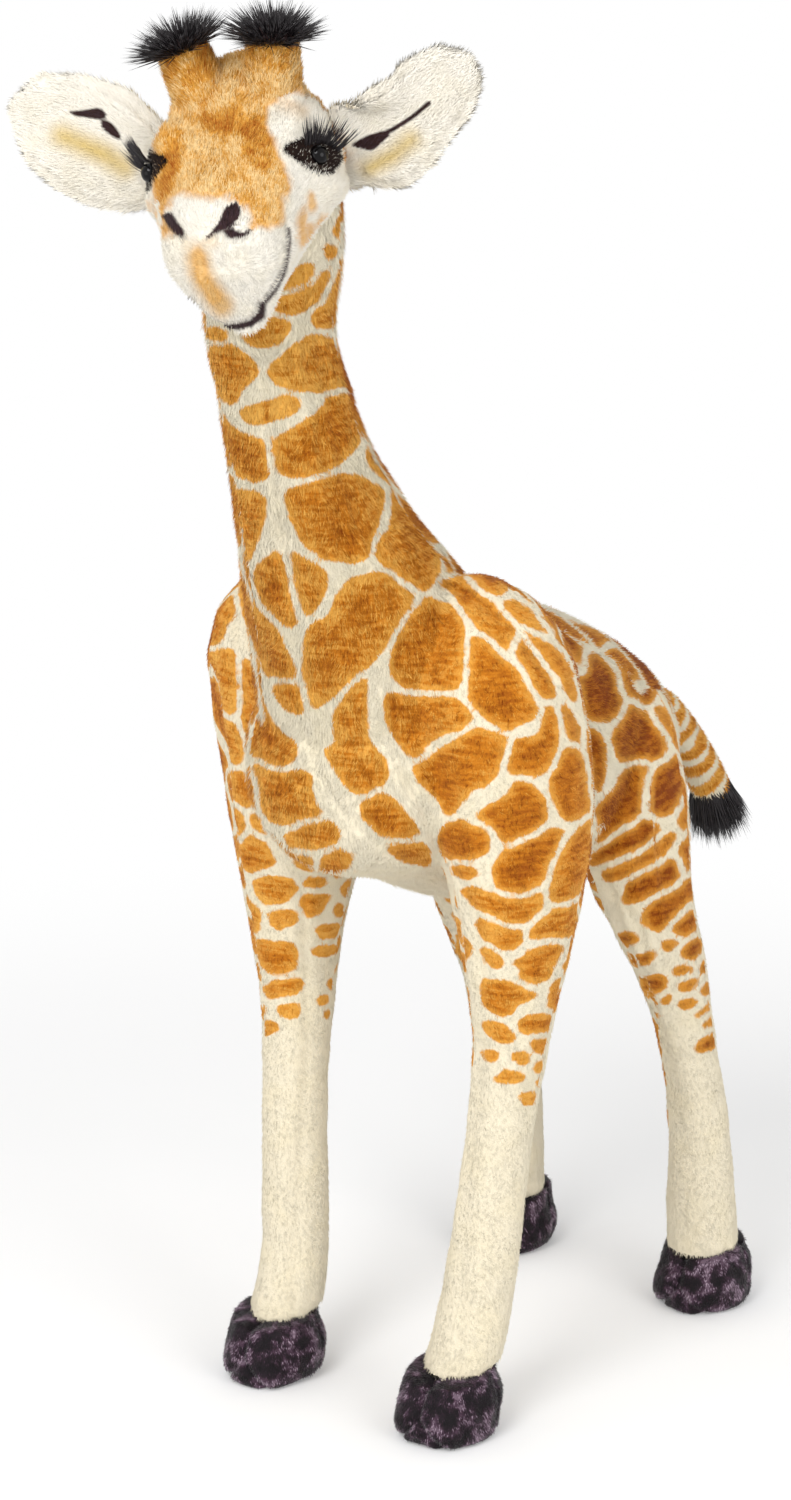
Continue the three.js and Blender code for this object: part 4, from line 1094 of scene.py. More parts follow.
# ---------------------------------------------------------------- hooves
# Cups of short dark velour, sewn under the legs, with a seam up the front of the toe and two
# rounded toe lobes beside it. A plastic board keeps each sole flat.
HOOVES = {"left_front": (0.07658, -0.13662), "right_front": (-0.08142, -0.13662),
          "left_rear": (0.08858, 0.16338), "right_rear": (-0.09342, 0.16338)}
HOOF_PILE = (75, 0.0034, 0.001, 28)
SOLE_HEIGHT = 0.0006
BARE_BELOW = 0.004  # the sole has no pile
TOE_REACH = 0.005  # how much further forward the toe's tip lies than the CAD's
FORK_HEIGHT = 0.021  # below it the toe's seam forks around the cleft
TOE_SEAM_DEPTH, SIDE_SEAM_DEPTH, TOE_SWELL, HOOF_DENTS = 0.0042, 0.0022, 0.002, 0.0012
velour = Finish("hoof_velour", Roughness=0.5, Sheen_Weight=0.3, Sheen_Roughness=0.25,
                Specular_IOR_Level=0.2)
velour_patchy, velour_grain = velour.noise(85, 4), velour.noise(1200, 2)
# Base colour: dark plum pile that varies lock by lock, with lighter patches painted in as
# highlights of the velour's sheen
velour_colour_and_highlights = velour.node("ShaderNodeValToRGB", {"stops": [
    (0.0, linear("0d070c")), (0.4, linear("21141d")), (0.7, linear("4a3444")),
    (1.0, linear("b39dae"))]},
    {"Fac": 0.75 * velour_patchy.ramp(0.36, 0.66) + 0.7 * (velour.attribute("strand") - 0.4)},
    "Color")
velour.feed(
    Base_Color=velour_colour_and_highlights, Roughness=0.34 + 0.3 * velour_grain,
    Normal=velour.bump(velour_grain + 2 * velour_patchy, 0.0012, 0.8))


def lying(way):
    """Pile that lies the same way all over a piece."""
    return lambda places, normals: np.tile(way, (len(places), 1))


for place, (hoof_x, hoof_y) in HOOVES.items():
    hoof = stuffed(f"{place}_hoof_cover", f"{place}_hoof", f"{place}_sole_board", voxel=0.0018,
                   smoothings=5)
    spot, normals = corners(hoof), corner_normals(hoof)
    across, along = spot[:, 0] - hoof_x, spot[:, 1] - hoof_y
    toe = step(-along, 0.0, 0.03)
    low = 1 - step(spot[:, 2], 0.012, 0.046)
    spot[:, 1] -= TOE_REACH * toe * low
    fork = np.maximum(FORK_HEIGHT - spot[:, 2], 0) * 0.9
    groove = toe * np.exp(-(((np.abs(across) - fork) / 0.003) ** 2))
    flank_seam = np.exp(-(((along - 0.012) / 0.0024) ** 2)) * step(np.abs(across), 0.015, 0.024)
    swell = toe * np.exp(-(((np.abs(across) - 0.017) / 0.011) ** 2)) * low
    spot = spot + normals * (
        HOOF_DENTS * ripple(spot, 0.012, 40) - TOE_SEAM_DEPTH * groove
        - SIDE_SEAM_DEPTH * flank_seam + TOE_SWELL * swell)[:, None]
    spot[:, 2] = np.maximum(spot[:, 2], SOLE_HEIGHT)
    move_corners(hoof, spot)
    smoothed(hoof, 0.4, 1)
    hoof = piled(hoof, velour.material, *HOOF_PILE, lying([0.0, 0.0, -1.0]),
                 lambda places, normals: {}, seed=60, softness=0.55,
                 bare=lambda places: places[:, 2] < BARE_BELOW)
    spot = corners(hoof)
    spot[:, 2] = np.maximum(spot[:, 2], 0)
    move_corners(hoof, spot)
    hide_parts(f"{place}_hoof")
    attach(hoof, "animal")

# ---------------------------------------------------------------- tail
# A stuffed tube in tan and cream bands, sewn into the rump. It ends in a brush of black hair
# that is bound together and pushed into the tube's open end.
TAIL_ROOT = np.array([MIDDLE_X, 0.19238, 0.446])
TAIL_END = np.array([MIDDLE_X, 0.2936, 0.3558])
TAIL_WAY = np.array([0, 0.78, -0.626])
BAND_START, BAND_PITCH, BAND_HALF = 0.080, 0.0195, 0.0062
TAIL_PILE = (80, 0.006, 0.0012, 22)
TAIL_FILLING = 0.0024  # how much thicker than the CAD's tube the cover is


def tail_paint(places, normals):
    along = (places - TAIL_ROOT) @ TAIL_WAY
    phase = (along - BAND_START + 0.0022 * ripple(places, 0.012, 9)) % BAND_PITCH
    depth = BAND_HALF - np.minimum(phase, BAND_PITCH - phase)
    return coat_values(places, 1000 * depth, 0.4)


tail = stuffed("tail_cover", "tail")
spot = corners(tail)
thicker = TAIL_FILLING * step((spot - TAIL_ROOT) @ TAIL_WAY, 0.0, 0.04)
move_corners(tail, spot + corner_normals(tail) * thicker[:, None])
tail = piled(tail, plush_material, *TAIL_PILE, lying(TAIL_WAY), tail_paint, seed=70)
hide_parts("tail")
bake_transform(tail)


def of_hairs(name, draw, roots, *shape):
    """An object of separate black hairs, each with a shade of its own."""
    tips, faces, tip, per = spikes(roots, *shape)
    strand = np.repeat(draw.random(len(roots)), per)
    made = built(name, tips, faces, None, {"strand": strand, "tip": tip})
    made.data.materials.append(hair.material)
    return made


def brush_of(name, root, way, count, radius, length, spread_angle, width, seed, lift=0.0,
             fall=0.0, shortest=0.62, stray=0.12):
    """A brush of hairs from a round foot. fall bends their ends down, lift outwards."""
    draw = np.random.default_rng(seed)
    one = unit(np.cross(way, [0.3, 0.2, 0.9]))
    two = np.cross(way, one)
    share = np.sqrt(draw.uniform(0, 1, count))
    angle = draw.uniform(0, math.tau, count)
    out = np.cos(angle)[:, None] * one + np.sin(angle)[:, None] * two
    tilt = np.clip(share * spread_angle + draw.normal(0, stray, count), 0, 1.9)
    roots = root + out * (share * radius)[:, None]
    ways = unit(out * np.sin(tilt)[:, None] + way * np.cos(tilt)[:, None]
                + draw.normal(0, 0.6 * stray, (count, 3)))
    size = length * draw.uniform(shortest, 1.0, count)
    bend = out * lift + np.array([0, 0, -fall]) + draw.normal(0, 0.05, (count, 3))
    return of_hairs(name, draw, roots, ways, out + 0.01 * two, size,
                    width * draw.uniform(0.6, 1.2, count), width * 0.6, bend * size[:, None], 3)


hair = Finish("black_hair", Roughness=0.42, Specular_IOR_Level=0.5)
hair_streak = hair.noise(700, 3, (1, 1, 0.4))
hair.feed(
    Base_Color=hair.mix(0.6 * hair.attribute("strand") + 0.4 * hair_streak,
                        linear("0d0a0c"), linear("2b2427")),
    Roughness=0.34 + 0.3 * hair_streak, Normal=hair.bump(hair_streak, 0.0003))

brush_way = unit(np.array([0.0, 0.42, -0.9]))
BRUSH_ROOTED = 0.012  # how far inside the tube the hair is bound
brush = brush_of("tail_brush", TAIL_END - BRUSH_ROOTED * brush_way, brush_way, count=1700,
                 radius=0.0125, length=0.052, spread_angle=0.2, width=0.0012, seed=71,
                 fall=0.06, shortest=0.82, stray=0.05)
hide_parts("tail_tuft")
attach(brush, "tail_group")

# ---------------------------------------------------------------- mane
# A narrow band of longer brown pile sewn into the nape, from the shoulders to the crown.
MANE_PILE = (90, 0.0085, 0.0012, 38)
MANE_SINK = 0.0015  # how much deeper in the nape the band lies than the CAD's
mane = stuffed("mane_band", "mane")
spot = corners(mane)
nape_way = np.tile([0.0, 1.0, 0.0], (len(spot), 1))
sunk = slimming(spot, nape_way)[:, None] + MANE_SINK
move_corners(mane, spot - nape_way * sunk)
mane = piled(mane, plush_material, *MANE_PILE, lying([0.0, 0.7, -0.3]),
             lambda places, normals: coat_values(places, 6.0, 0.4), seed=80, softness=0.7)
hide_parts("mane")
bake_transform(mane)

# ---------------------------------------------------------------- head
# The stuffed head: golden forehead, white brows and cheeks, a white muzzle with a golden
# stripe, nostrils and mouth in black pile. It is drawn in its own frame, looking along -Y.
HEAD_FRAME = np.array(Matrix.Translation((0.00658, -0.25962, 0.88)) @ Euler(
    (math.radians(35), math.radians(-7), math.radians(23))).to_matrix().to_4x4())
HEAD_LENGTH, HEAD_WIDTH, HEAD_DEPTH = 0.174, 0.12, 0.1
HEAD_STATIONS = np.array([
    # forward, rise, wide, down, up, narrower towards the chin
    (-0.36, 0.04, 0.62, 0.7, 0.66, 0.05),
    (-0.23, 0.02, 0.88, 0.9, 0.82, 0.06),
    (-0.08, 0.0, 1.0, 1.0, 0.84, 0.08),
    (0.06, -0.04, 1.02, 1.02, 0.8, 0.1),
    (0.19, -0.08, 0.91, 1.04, 0.8, 0.14),
    (0.3, -0.12, 0.75, 1.04, 0.84, 0.2),
    (0.41, -0.15, 0.64, 1.0, 0.86, 0.28),
    (0.51, -0.18, 0.57, 0.96, 0.78, 0.34),
    (0.58, -0.2, 0.46, 0.84, 0.58, 0.32),
])


def to_scene(places):
    return places @ HEAD_FRAME[:3, :3].T + HEAD_FRAME[:3, 3]


def to_head(places):
    return (places - HEAD_FRAME[:3, 3]) @ HEAD_FRAME[:3, :3]


def to_left_half(own):
    """Places in the head's frame, with its right half mirrored onto its left one."""
    signs = np.ones_like(own)
    signs[:, 0] = np.sign(own[:, 0])
    return own * signs


def along_stations(table, share):
    """The stations' values at a share of the way, on one smooth curve through them."""
    padded_rows = np.vstack([2 * table[0] - table[1], table, 2 * table[-1] - table[-2]])
    spot = share * (len(table) - 1)
    first = np.minimum(spot.astype(int), len(table) - 2)
    t = (spot - first)[:, None]
    a, b, c, d = (padded_rows[first + k] for k in range(4))
    return b + t * ((c - a) / 2 + t * ((2 * a - 5 * b + 4 * c - d) / 2
                                       + t * (3 * b - 3 * c + d - a) / 2))


HEAD_RINGS, HEAD_SIDES = 80, 72
HEAD_CAPS = (0.1, 0.08)
share = (1 - np.cos(np.linspace(0.02, math.pi - 0.02, HEAD_RINGS))) / 2
close = np.minimum(share / HEAD_CAPS[0], (1 - share) / HEAD_CAPS[1]).clip(0, 1)
close = np.sqrt(1 - (1 - close) ** 2)[:, None]
forward, rise, wide, below, above, egg = along_stations(HEAD_STATIONS, share).T[:, :, None]
angle = np.linspace(0, math.tau, HEAD_SIDES, endpoint=False)[None]
lean = np.sin(angle)
depth = np.where(lean > 0, below, above) * HEAD_DEPTH / 2
rings = np.stack([
    np.cos(angle) * wide * HEAD_WIDTH / 2 * (1 - egg * lean) * close,
    -forward * HEAD_LENGTH + 0 * angle,
    rise * HEAD_DEPTH - lean * depth * close], -1)
hubs = rings[[0, -1]].mean(1)
index = np.arange(HEAD_RINGS * HEAD_SIDES).reshape(HEAD_RINGS, HEAD_SIDES)
turned = np.roll(index, -1, axis=1)
sides = np.stack([index[:-1], index[1:], turned[1:]], -1), np.stack(
    [index[:-1], turned[1:], turned[:-1]], -1)
ends = [np.stack([np.full(HEAD_SIDES, HEAD_RINGS * HEAD_SIDES + e), *pair], -1)
        for e, pair in enumerate([(index[0], turned[0]), (turned[-1], index[-1])])]
head = built("head_cover", to_scene(np.vstack([rings.reshape(-1, 3), hubs])),
             np.concatenate([s.reshape(-1, 3) for s in sides] + ends))
BROW_PLACE = np.array([0.32 * HEAD_WIDTH, -0.05 * HEAD_LENGTH, 0.0182])
BROW_RADIUS = 0.0168
brows = []
for place in (BROW_PLACE, BROW_PLACE * FLIP):
    deselect()
    bpy.ops.mesh.primitive_uv_sphere_add(
        segments=32, ring_count=20, radius=BROW_RADIUS, location=to_scene(place))
    brows.append(bpy.context.object)
activate(head, *brows)
bpy.ops.object.join()
merge(head)
remeshed(head, 0.002)
smoothed(head, 0.5, 26)

# The golden forehead, then small spots of gold on muzzle, cheek and brow
GOLD = """
150,40 300,20 340,30 338,70 330,90 318,98 308,100 300,97 288,95 278,98 272,108 266,120 270,135
    275,150 276,162 281,172 287,185 285,192 279,196 279,206 277,218 274,226 262,229 252,227 250,218
    246,208 240,200 228,200 215,202 200,200 185,196 178,202 170,212 172,224 180,238 172,238 166,225
    162,210 161,195 160,180 163,165 160,150 158,140 164,128 172,118 175,106 168,96 165,80 158,62
303,197 308,194 309,205 304,208
295,215 298,210 299,225 298,240 295,243 294,228
202,246 206,262 211,277 221,294 217,297 207,280 201,264 198,250
314,218 320,212 321,222 317,233 312,240 311,230
303,222 306,228 305,243 302,244
147,202 152,200 155,208 152,212
"""
# Darker parts of the forehead
DARK_GOLD = """
252,118 262,122 268,135 272,150 272,165 262,175 252,172 244,155 240,138 244,122
168,140 178,130 186,140 184,160 182,178 176,195 168,205 162,200 164,180 164,160
250,66 275,66 288,76 280,88 262,84 248,76
206,116 236,114 240,128 226,140 208,136
"""
# The black nostrils, and the line of mouth and chin with its width in pixels
INK_PATCHES = """
168,213 177,212 184,225 190,232 189,240 180,238 172,229 168,221
224,231 232,228 242,232 252,229 254,232 246,238 236,239 226,237
238,205 242,212 241,222 232,228 224,232 215,237 208,240 206,236 215,229 221,222 222,214 230,207
"""
INK_STROKES = (
    ("282,227 283,240 281,254 279,264 275,276 269,288 261,299", 5.8),
    ("260,300 258,310 250,317 241,320", 9.0),
    ("243,319 232,321 221,319 211,314 203,308 197,301 192,295", 8.0),
)
# Faint brushed colour on the muzzle, brows and cheeks
WASHES = (
    ("200,254 202,266 208,278 218,292 224,300", 24.0, 0.75),
    ("190,246 196,242 208,243 216,240", 6.0, 0.5),
    ("272,104 286,108 298,116", 14.0, 0.35),
    ("148,118 156,130", 8.0, 0.4),
)
GOLD_TONE, GOLD_DARKENS = 0.26, 0.42
forehead, *spots_of_gold = outlines(GOLD)
face = Drawing()
face.patch(forehead, GOLD_TONE, 1.0)
for outline in outlines(DARK_GOLD):
    face.shade(outline, GOLD_TONE, GOLD_DARKENS)
for outline in spots_of_gold:
    face.patch(outline, 0.1, 2.0)
wash = Drawing()
for line, width, strength in WASHES:
    wash.stroke(line, width, strength)
ink = Drawing()
for outline in outlines(INK_PATCHES):
    ink.patch(outline, 0.5, 0.6)
for line, width in INK_STROKES:
    ink.stroke(line, width)


def mirrored_head(places):
    return to_scene(to_head(places) * FLIP)


def turned_in_head(normals):
    return (normals @ HEAD_FRAME[:3, :3] * FLIP) @ HEAD_FRAME[:3, :3].T


FACE_FACING, LINE_FACING = 0.2, 0.03  # as LEAST_FACING, for the face and for its black lines
LINE_HALF = 2.0  # half the width of the black lines, in millimetres


def on_head(drawing, places, normals, behind, least=FACE_FACING):
    """A drawing's depth in millimetres, its tone, and how squarely the photograph sees each
    place. The depth is that given by behind where it doesn't."""
    depth, tone, edge = looked_up(drawing, places, normals, mirrored_head, turned_in_head, least)
    return np.where(edge <= 0, behind, 1000 * depth), tone, edge + least


def black_on_head(places, normals):
    """The depth in the black lines, which stay as wide where the head turns away."""
    depth, _, squarely = on_head(ink, places, normals, Drawing.FAR, LINE_FACING)
    kept = LINE_HALF - (LINE_HALF - depth) * 0.45 / np.clip(squarely, 0.2, 0.45)
    return np.where(squarely <= LINE_FACING, Drawing.FAR, kept)


def face_paint(places, normals):
    own = to_head(places)
    # Where neither way sees the head, its crown and nape are golden
    crown = 800 * (own[:, 2] + 0.06 - 0.08 * step(-own[:, 1], -0.03, 0.03)
                   + 0.004 * ripple(places, 0.02, 33))
    wobble = np.stack([ripple(places, 0.005, s) for s in (37, 38, 39)], 1) * 0.0011
    unseen = np.clip(crown, Drawing.FAR, -Drawing.FAR)
    gold, tone, _ = on_head(face, places + wobble, normals, unseen)
    faint, strength, _ = on_head(wash, places, normals, Drawing.FAR)
    return coat_values(places, gold, tone, black_on_head(places, normals),
                       wash=strength * step(faint, -4.5, 6))


# Where the outline of cheek and crown belongs, in pixels of the photograph, and points that stay
CHEEK_PULLS = """
332,190>344,192 325,213>331,213 318,230>319,230 300,190>300,190 315,150>315,150 290,240>290,240
340,160>343,160 270,180>270,180 300,270>300,270 326,70>306,78 332,84>312,92 337,100>323,104
341,118>334,120 300,60>296,62 290,90>290,92
"""


def pulled(places, pairs, reach):
    """Places moved across the photograph's plane as these pairs of points say, by nearness."""
    across, down = in_photo(places)
    move, total = np.zeros((len(places), 2)), np.zeros(len(places))
    for pair in pairs.split():
        start, end = read(pair.replace(">", " "))
        weight = 1 / ((across - start[0]) ** 2 + (down - start[1]) ** 2 + reach ** 2) ** 2
        move += weight[:, None] * (end - start)
        total += weight
    move /= total[:, None]
    scale = -((places - lens_place) @ back_way)[:, None] / PHOTO_FOCUS
    return places + scale * (move[:, :1] * right_way - move[:, 1:] * up_way)


spot = corners(head)
left_half = (to_head(spot)[:, 0] > 0)[:, None]
near = pulled(np.where(left_half, spot, mirrored_head(spot)), CHEEK_PULLS, 10)
away = step(np.abs(to_head(spot)[:, 0]), 0.0, 0.02)[:, None]
spot += away * (np.where(left_half, near, mirrored_head(near)) - spot)
move_corners(head, spot)
spot, normals = corners(head), corner_normals(head)
EYE_PLACE = np.array([0.45 * HEAD_WIDTH, -0.13 * HEAD_LENGTH, 0.1 * HEAD_DEPTH])
SOCKET_SIZE, SOCKET_DEPTH, LINE_DEPTH, FACE_DENTS = 0.02, 0.002, 0.0022, 0.0006
to_eye = np.linalg.norm(to_left_half(to_head(spot)) - EYE_PLACE, axis=1)
spot = spot + normals * (
    FACE_DENTS * ripple(spot, 0.02, 34) - LINE_DEPTH * step(black_on_head(spot, normals), -1.6, 1.0)
    - SOCKET_DEPTH * np.exp(-((to_eye / SOCKET_SIZE) ** 2)))[:, None]
move_corners(head, spot)
smoothed(head, 0.4, 1)


def face_nap(places, normals):
    """Pile on the face lies back from the nose, and down on the cheeks and chin."""
    own = to_head(places)
    low = step(-own[:, 2], -0.005, 0.03)[:, None]
    way = (1 - low) * np.array([0, 1.0, 0.35]) + low * np.array([0, 0.8, -0.8])
    way[:, 0] += 5 * own[:, 0]
    return way @ HEAD_FRAME[:3, :3].T


face_plush = plush("face_plush", cream="f1ede4", pale="f0cd92", mid="d4973e", dark="a0520c",
                   edge=3.4, ink_edge=1.7, streak=(1, 1, 1), mottle=0.35, core=0.0,
                   wash="dba444")
FACE_PILE = (72, 0.005, 0.00095, 24)
head_skin = head.data.copy()  # for the eye surrounds
head = piled(head, face_plush, *FACE_PILE, face_nap, face_paint, seed=90, softness=0.88)
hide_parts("head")
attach(head, "head_group")

# ---------------------------------------------------------------- ears
# Thin padded leaves in cream plush, sewn at the temples and golden there behind, each with a
# paler lining that has a yellow middle and a dark streak.
# Dark spots on the linings, then a streak and faint yellow middles
EAR_PATCHES = """
67,112 82,111 100,108 106,114 104,120 90,118 75,116
102,120 110,122 120,134 121,141 111,136 101,127
349,146 365,137 382,131 390,134 382,142 372,151 361,148
"""
EAR_STREAK = "384,134 400,125 415,115 429,103"
EAR_WASHES = (("62,136 84,146 106,156 124,168", 22.0), ("370,168 392,156 410,140", 18.0))
# Where points of the stuffed ear's outline belong, in pixels of the photograph
EAR_PULLS = """
2,120>3,105 12,95>14,86 72,80>75,74 120,92>122,88 10,160>20,150 27,187>46,180 57,207>68,194
92,217>96,205 135,204>135,204 150,115>150,115 150,160>150,160 342,62>352,92 372,45>384,76
412,37>412,54 447,42>445,43 470,60>473,50 482,90>482,74 477,125>470,106 462,155>450,142
437,175>430,166 397,189>392,189 357,185>357,187 340,120>340,120 338,150>338,150
"""
ear_ink, ear_wash = Drawing(), Drawing()
for outline in outlines(EAR_PATCHES):
    ear_ink.patch(outline, 0.5, 0.4)
ear_ink.stroke(EAR_STREAK, 4.5)
for line, width in EAR_WASHES:
    ear_wash.stroke(line, width)
ear_plush = plush("ear_plush", cream="fffaf0", pale="e6d3a0", mid="d0a25a", dark="a8702c",
                  ink="2a1a16", ink_edge=0.9, wash="dcc078")
EAR_ROOT = np.array([0.45 * HEAD_WIDTH, 0.07 * HEAD_LENGTH, -0.19 * HEAD_DEPTH])
EAR_WAY = unit(np.array([0.9, 0.05, 0.46]))


def ear_paint(places, normals):
    seen = facing(places, normals) > -0.1
    faint, _ = ear_wash.at(*in_photo(places))
    streak, _ = ear_ink.at(*in_photo(places))
    own = to_head(places)
    out = np.abs(own[:, 0]) - EAR_ROOT[0] + 0.004 * ripple(places, 0.02, 35)
    back = 0.7 * (1 - step(out, 0.004, 0.034))
    return coat_values(places, tone=0.5, ink=np.where(seen, streak / 1.5, -9.0),
                       wash=np.where(seen, 0.85 * step(faint, -11, 12), back))


def head_side(side, place, *ways):
    """A place and ways given in the head's left half, in the scene and on this side of it."""
    mirror = np.array([side, 1, 1])
    at = to_scene(place * mirror)
    return at, *(to_scene((place + way) * mirror) - at for way in ways)


EAR_PILE = (75, 0.0066, 0.001, 24)
EAR_DENTS = 0.0006
EAR_MEETS = 0.03  # a distance out along the ear's root
LINING_DEPTH = 0.0016
LINING_REACH = 0.0022  # the ear grows no pile this near to its lining
for flank, side in (("left", 1), ("right", -1)):
    root, way = head_side(side, EAR_ROOT, EAR_WAY)

    def ear_nap(places, normals, root=root, way=way):
        out = places - root
        return out / 0.04 * np.clip(0.04 / np.linalg.norm(out, axis=1), 0, 1)[:, None] + 0.8 * way

    leaf = stuffed(f"{flank}_ear_cover", f"{flank}_ear", f"{flank}_ear_lining")
    spot = corners(leaf)
    lined = distances(spot, f"{flank}_ear_lining") < distances(spot, f"{flank}_ear")
    move_corners(leaf, pulled(spot, EAR_PULLS, 24)
                 + corner_normals(leaf) * EAR_DENTS * ripple(spot, 0.02, 36)[:, None])
    smoothed(leaf, 0.5, 6)
    spot, ways = corners(leaf), corner_normals(leaf)

    def leaf_normals(places, tree=tree_of(spot), ways=ways):
        return ways[[tree.find(p)[1] for p in places]]

    lining = linked(f"{flank}_ear_lining_cover", leaf.data.copy())
    quads = corner_numbers(leaf.data.polygons, 4)
    under = lined[quads].all(1)
    delete(lining, "FACE", ~under)
    keep_largest(lining)
    modified(lining, "SOLIDIFY", thickness=LINING_DEPTH - 0.0004, offset=-1)
    buried = np.zeros(len(spot), bool)
    buried[quads[under]] = True
    buried[quads[~under]] = False
    move_corners(leaf, spot - ways * (LINING_DEPTH * buried)[:, None])

    def under_lining(centres, tree=tree_of(spot[buried])):
        return np.array([tree.find(p)[2] for p in centres]) < LINING_REACH

    for piece, made, bare in (("ear", leaf, under_lining), ("ear_lining", lining, None)):
        made = piled(made, ear_plush, *EAR_PILE, ear_nap, ear_paint, seed=100 + side,
                     softness=0.85, bare=bare, normals_from=leaf_normals, glow=0.55)
        "cream_plush" if piece == "ear_lining" else "tan_plush"
        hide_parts(f"{flank}_{piece}")
        tuple(root + EAR_MEETS * way)
        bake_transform(made)

# ---------------------------------------------------------------- horns
# Stubby padded pegs in golden plush, sewn upright into the crown, each with a brush of black
# hair sewn into its top.
HORN_FOOT = np.array([0.25 * HEAD_WIDTH, 0.13 * HEAD_LENGTH, 0.3 * HEAD_DEPTH])
HORN_WAY = unit(np.array([0.2, 0.34, 0.92]))
HORN_HEIGHT = 0.033
HORN_SHIFT = np.array([-0.006, 0.0, 0.005])  # from the CAD's pegs to where the photograph has them
HORN_SINK = 0.011  # how much further down into the head the cover reaches
# How far under the horn's top the black pile begins, the pile ends and the hair is rooted
HORN_BLACK, HORN_BARE, HAIR_ROOTED = 0.0055, 0.008, 0.0065
HORN_PILE = (95, 0.0055, 0.001, 26)


def horn_paint(places, normals):
    own = to_left_half(to_head(places)) - HORN_FOOT
    height = (own - HORN_SHIFT) @ HORN_WAY
    return coat_values(places, 6.0, 0.28 + 14 * np.clip(own[:, 2] - 0.012, 0, 0.02),
                       1000 * (height - HORN_HEIGHT + HORN_BLACK))


for flank, side in (("left", 1), ("right", -1)):
    foot, way = head_side(side, HORN_FOOT + HORN_SHIFT, HORN_WAY)
    horn = stuffed(f"{flank}_horn_cover", f"{flank}_horn", voxel=0.0016)
    spot = to_scene(to_head(corners(horn)) + HORN_SHIFT * np.array([side, 1, 1]))
    height = np.clip((spot - foot) @ way / HORN_HEIGHT, 0, 1)
    move_corners(horn, spot - way * (HORN_SINK * (1 - height))[:, None])
    horn = piled(horn, face_plush, *HORN_PILE, lying(way), horn_paint, seed=110 + side,
                 bare=lambda p, foot=foot, way=way: (p - foot) @ way > HORN_HEIGHT - HORN_BARE)
    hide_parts(f"{flank}_horn")
    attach(horn, "head_group")
    brush = brush_of(f"{flank}_horn_brush", foot + (HORN_HEIGHT - HAIR_ROOTED) * way, way,
                     count=950, radius=0.0128, length=0.025, spread_angle=1.3, width=0.0008,
                     seed=120 + side, lift=0.1)
    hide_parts(f"{flank}_horn_tuft")
    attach(brush, "head_group")

# ---------------------------------------------------------------- eyes
# Glossy black beads, each in a surround of black pile with a point at either end, and a fringe of
# lashes sewn in over it.
EYE_WAY = unit(np.array([0.88, -0.42, 0.2]))
EYE_UP = unit(np.array([0, 0, 1.0]) - EYE_WAY * EYE_WAY[2])
EYE_TURN = -0.78  # how far the eye's corners are turned from the head's own level, in radians
EYE_ALONG = np.cross(EYE_UP, EYE_WAY) * math.cos(EYE_TURN) + EYE_UP * math.sin(EYE_TURN)
EYE_UP = np.cross(EYE_WAY, EYE_ALONG)
EYE_HALF_LENGTH, LID_HEIGHT, BAG_HEIGHT = 0.0205, 0.0115, 0.0098
EYE_RADIUS = 0.0064
LID_CURVE = 1.7  # the power with which the surround narrows to its points
SURROUND_EDGE = 0.0005  # by which the surround is wider than its outline
SURROUND_THICK = 0.0022
SURROUND_REACH = 0.03  # what lies further in front of or behind the eye isn't part of it
SURROUND_PILE = (200, 0.0036, 0.0006, 30)
LASHES = 150
LASH_SPREAD = 0.014  # how far to either side of the eye's middle the lashes grow
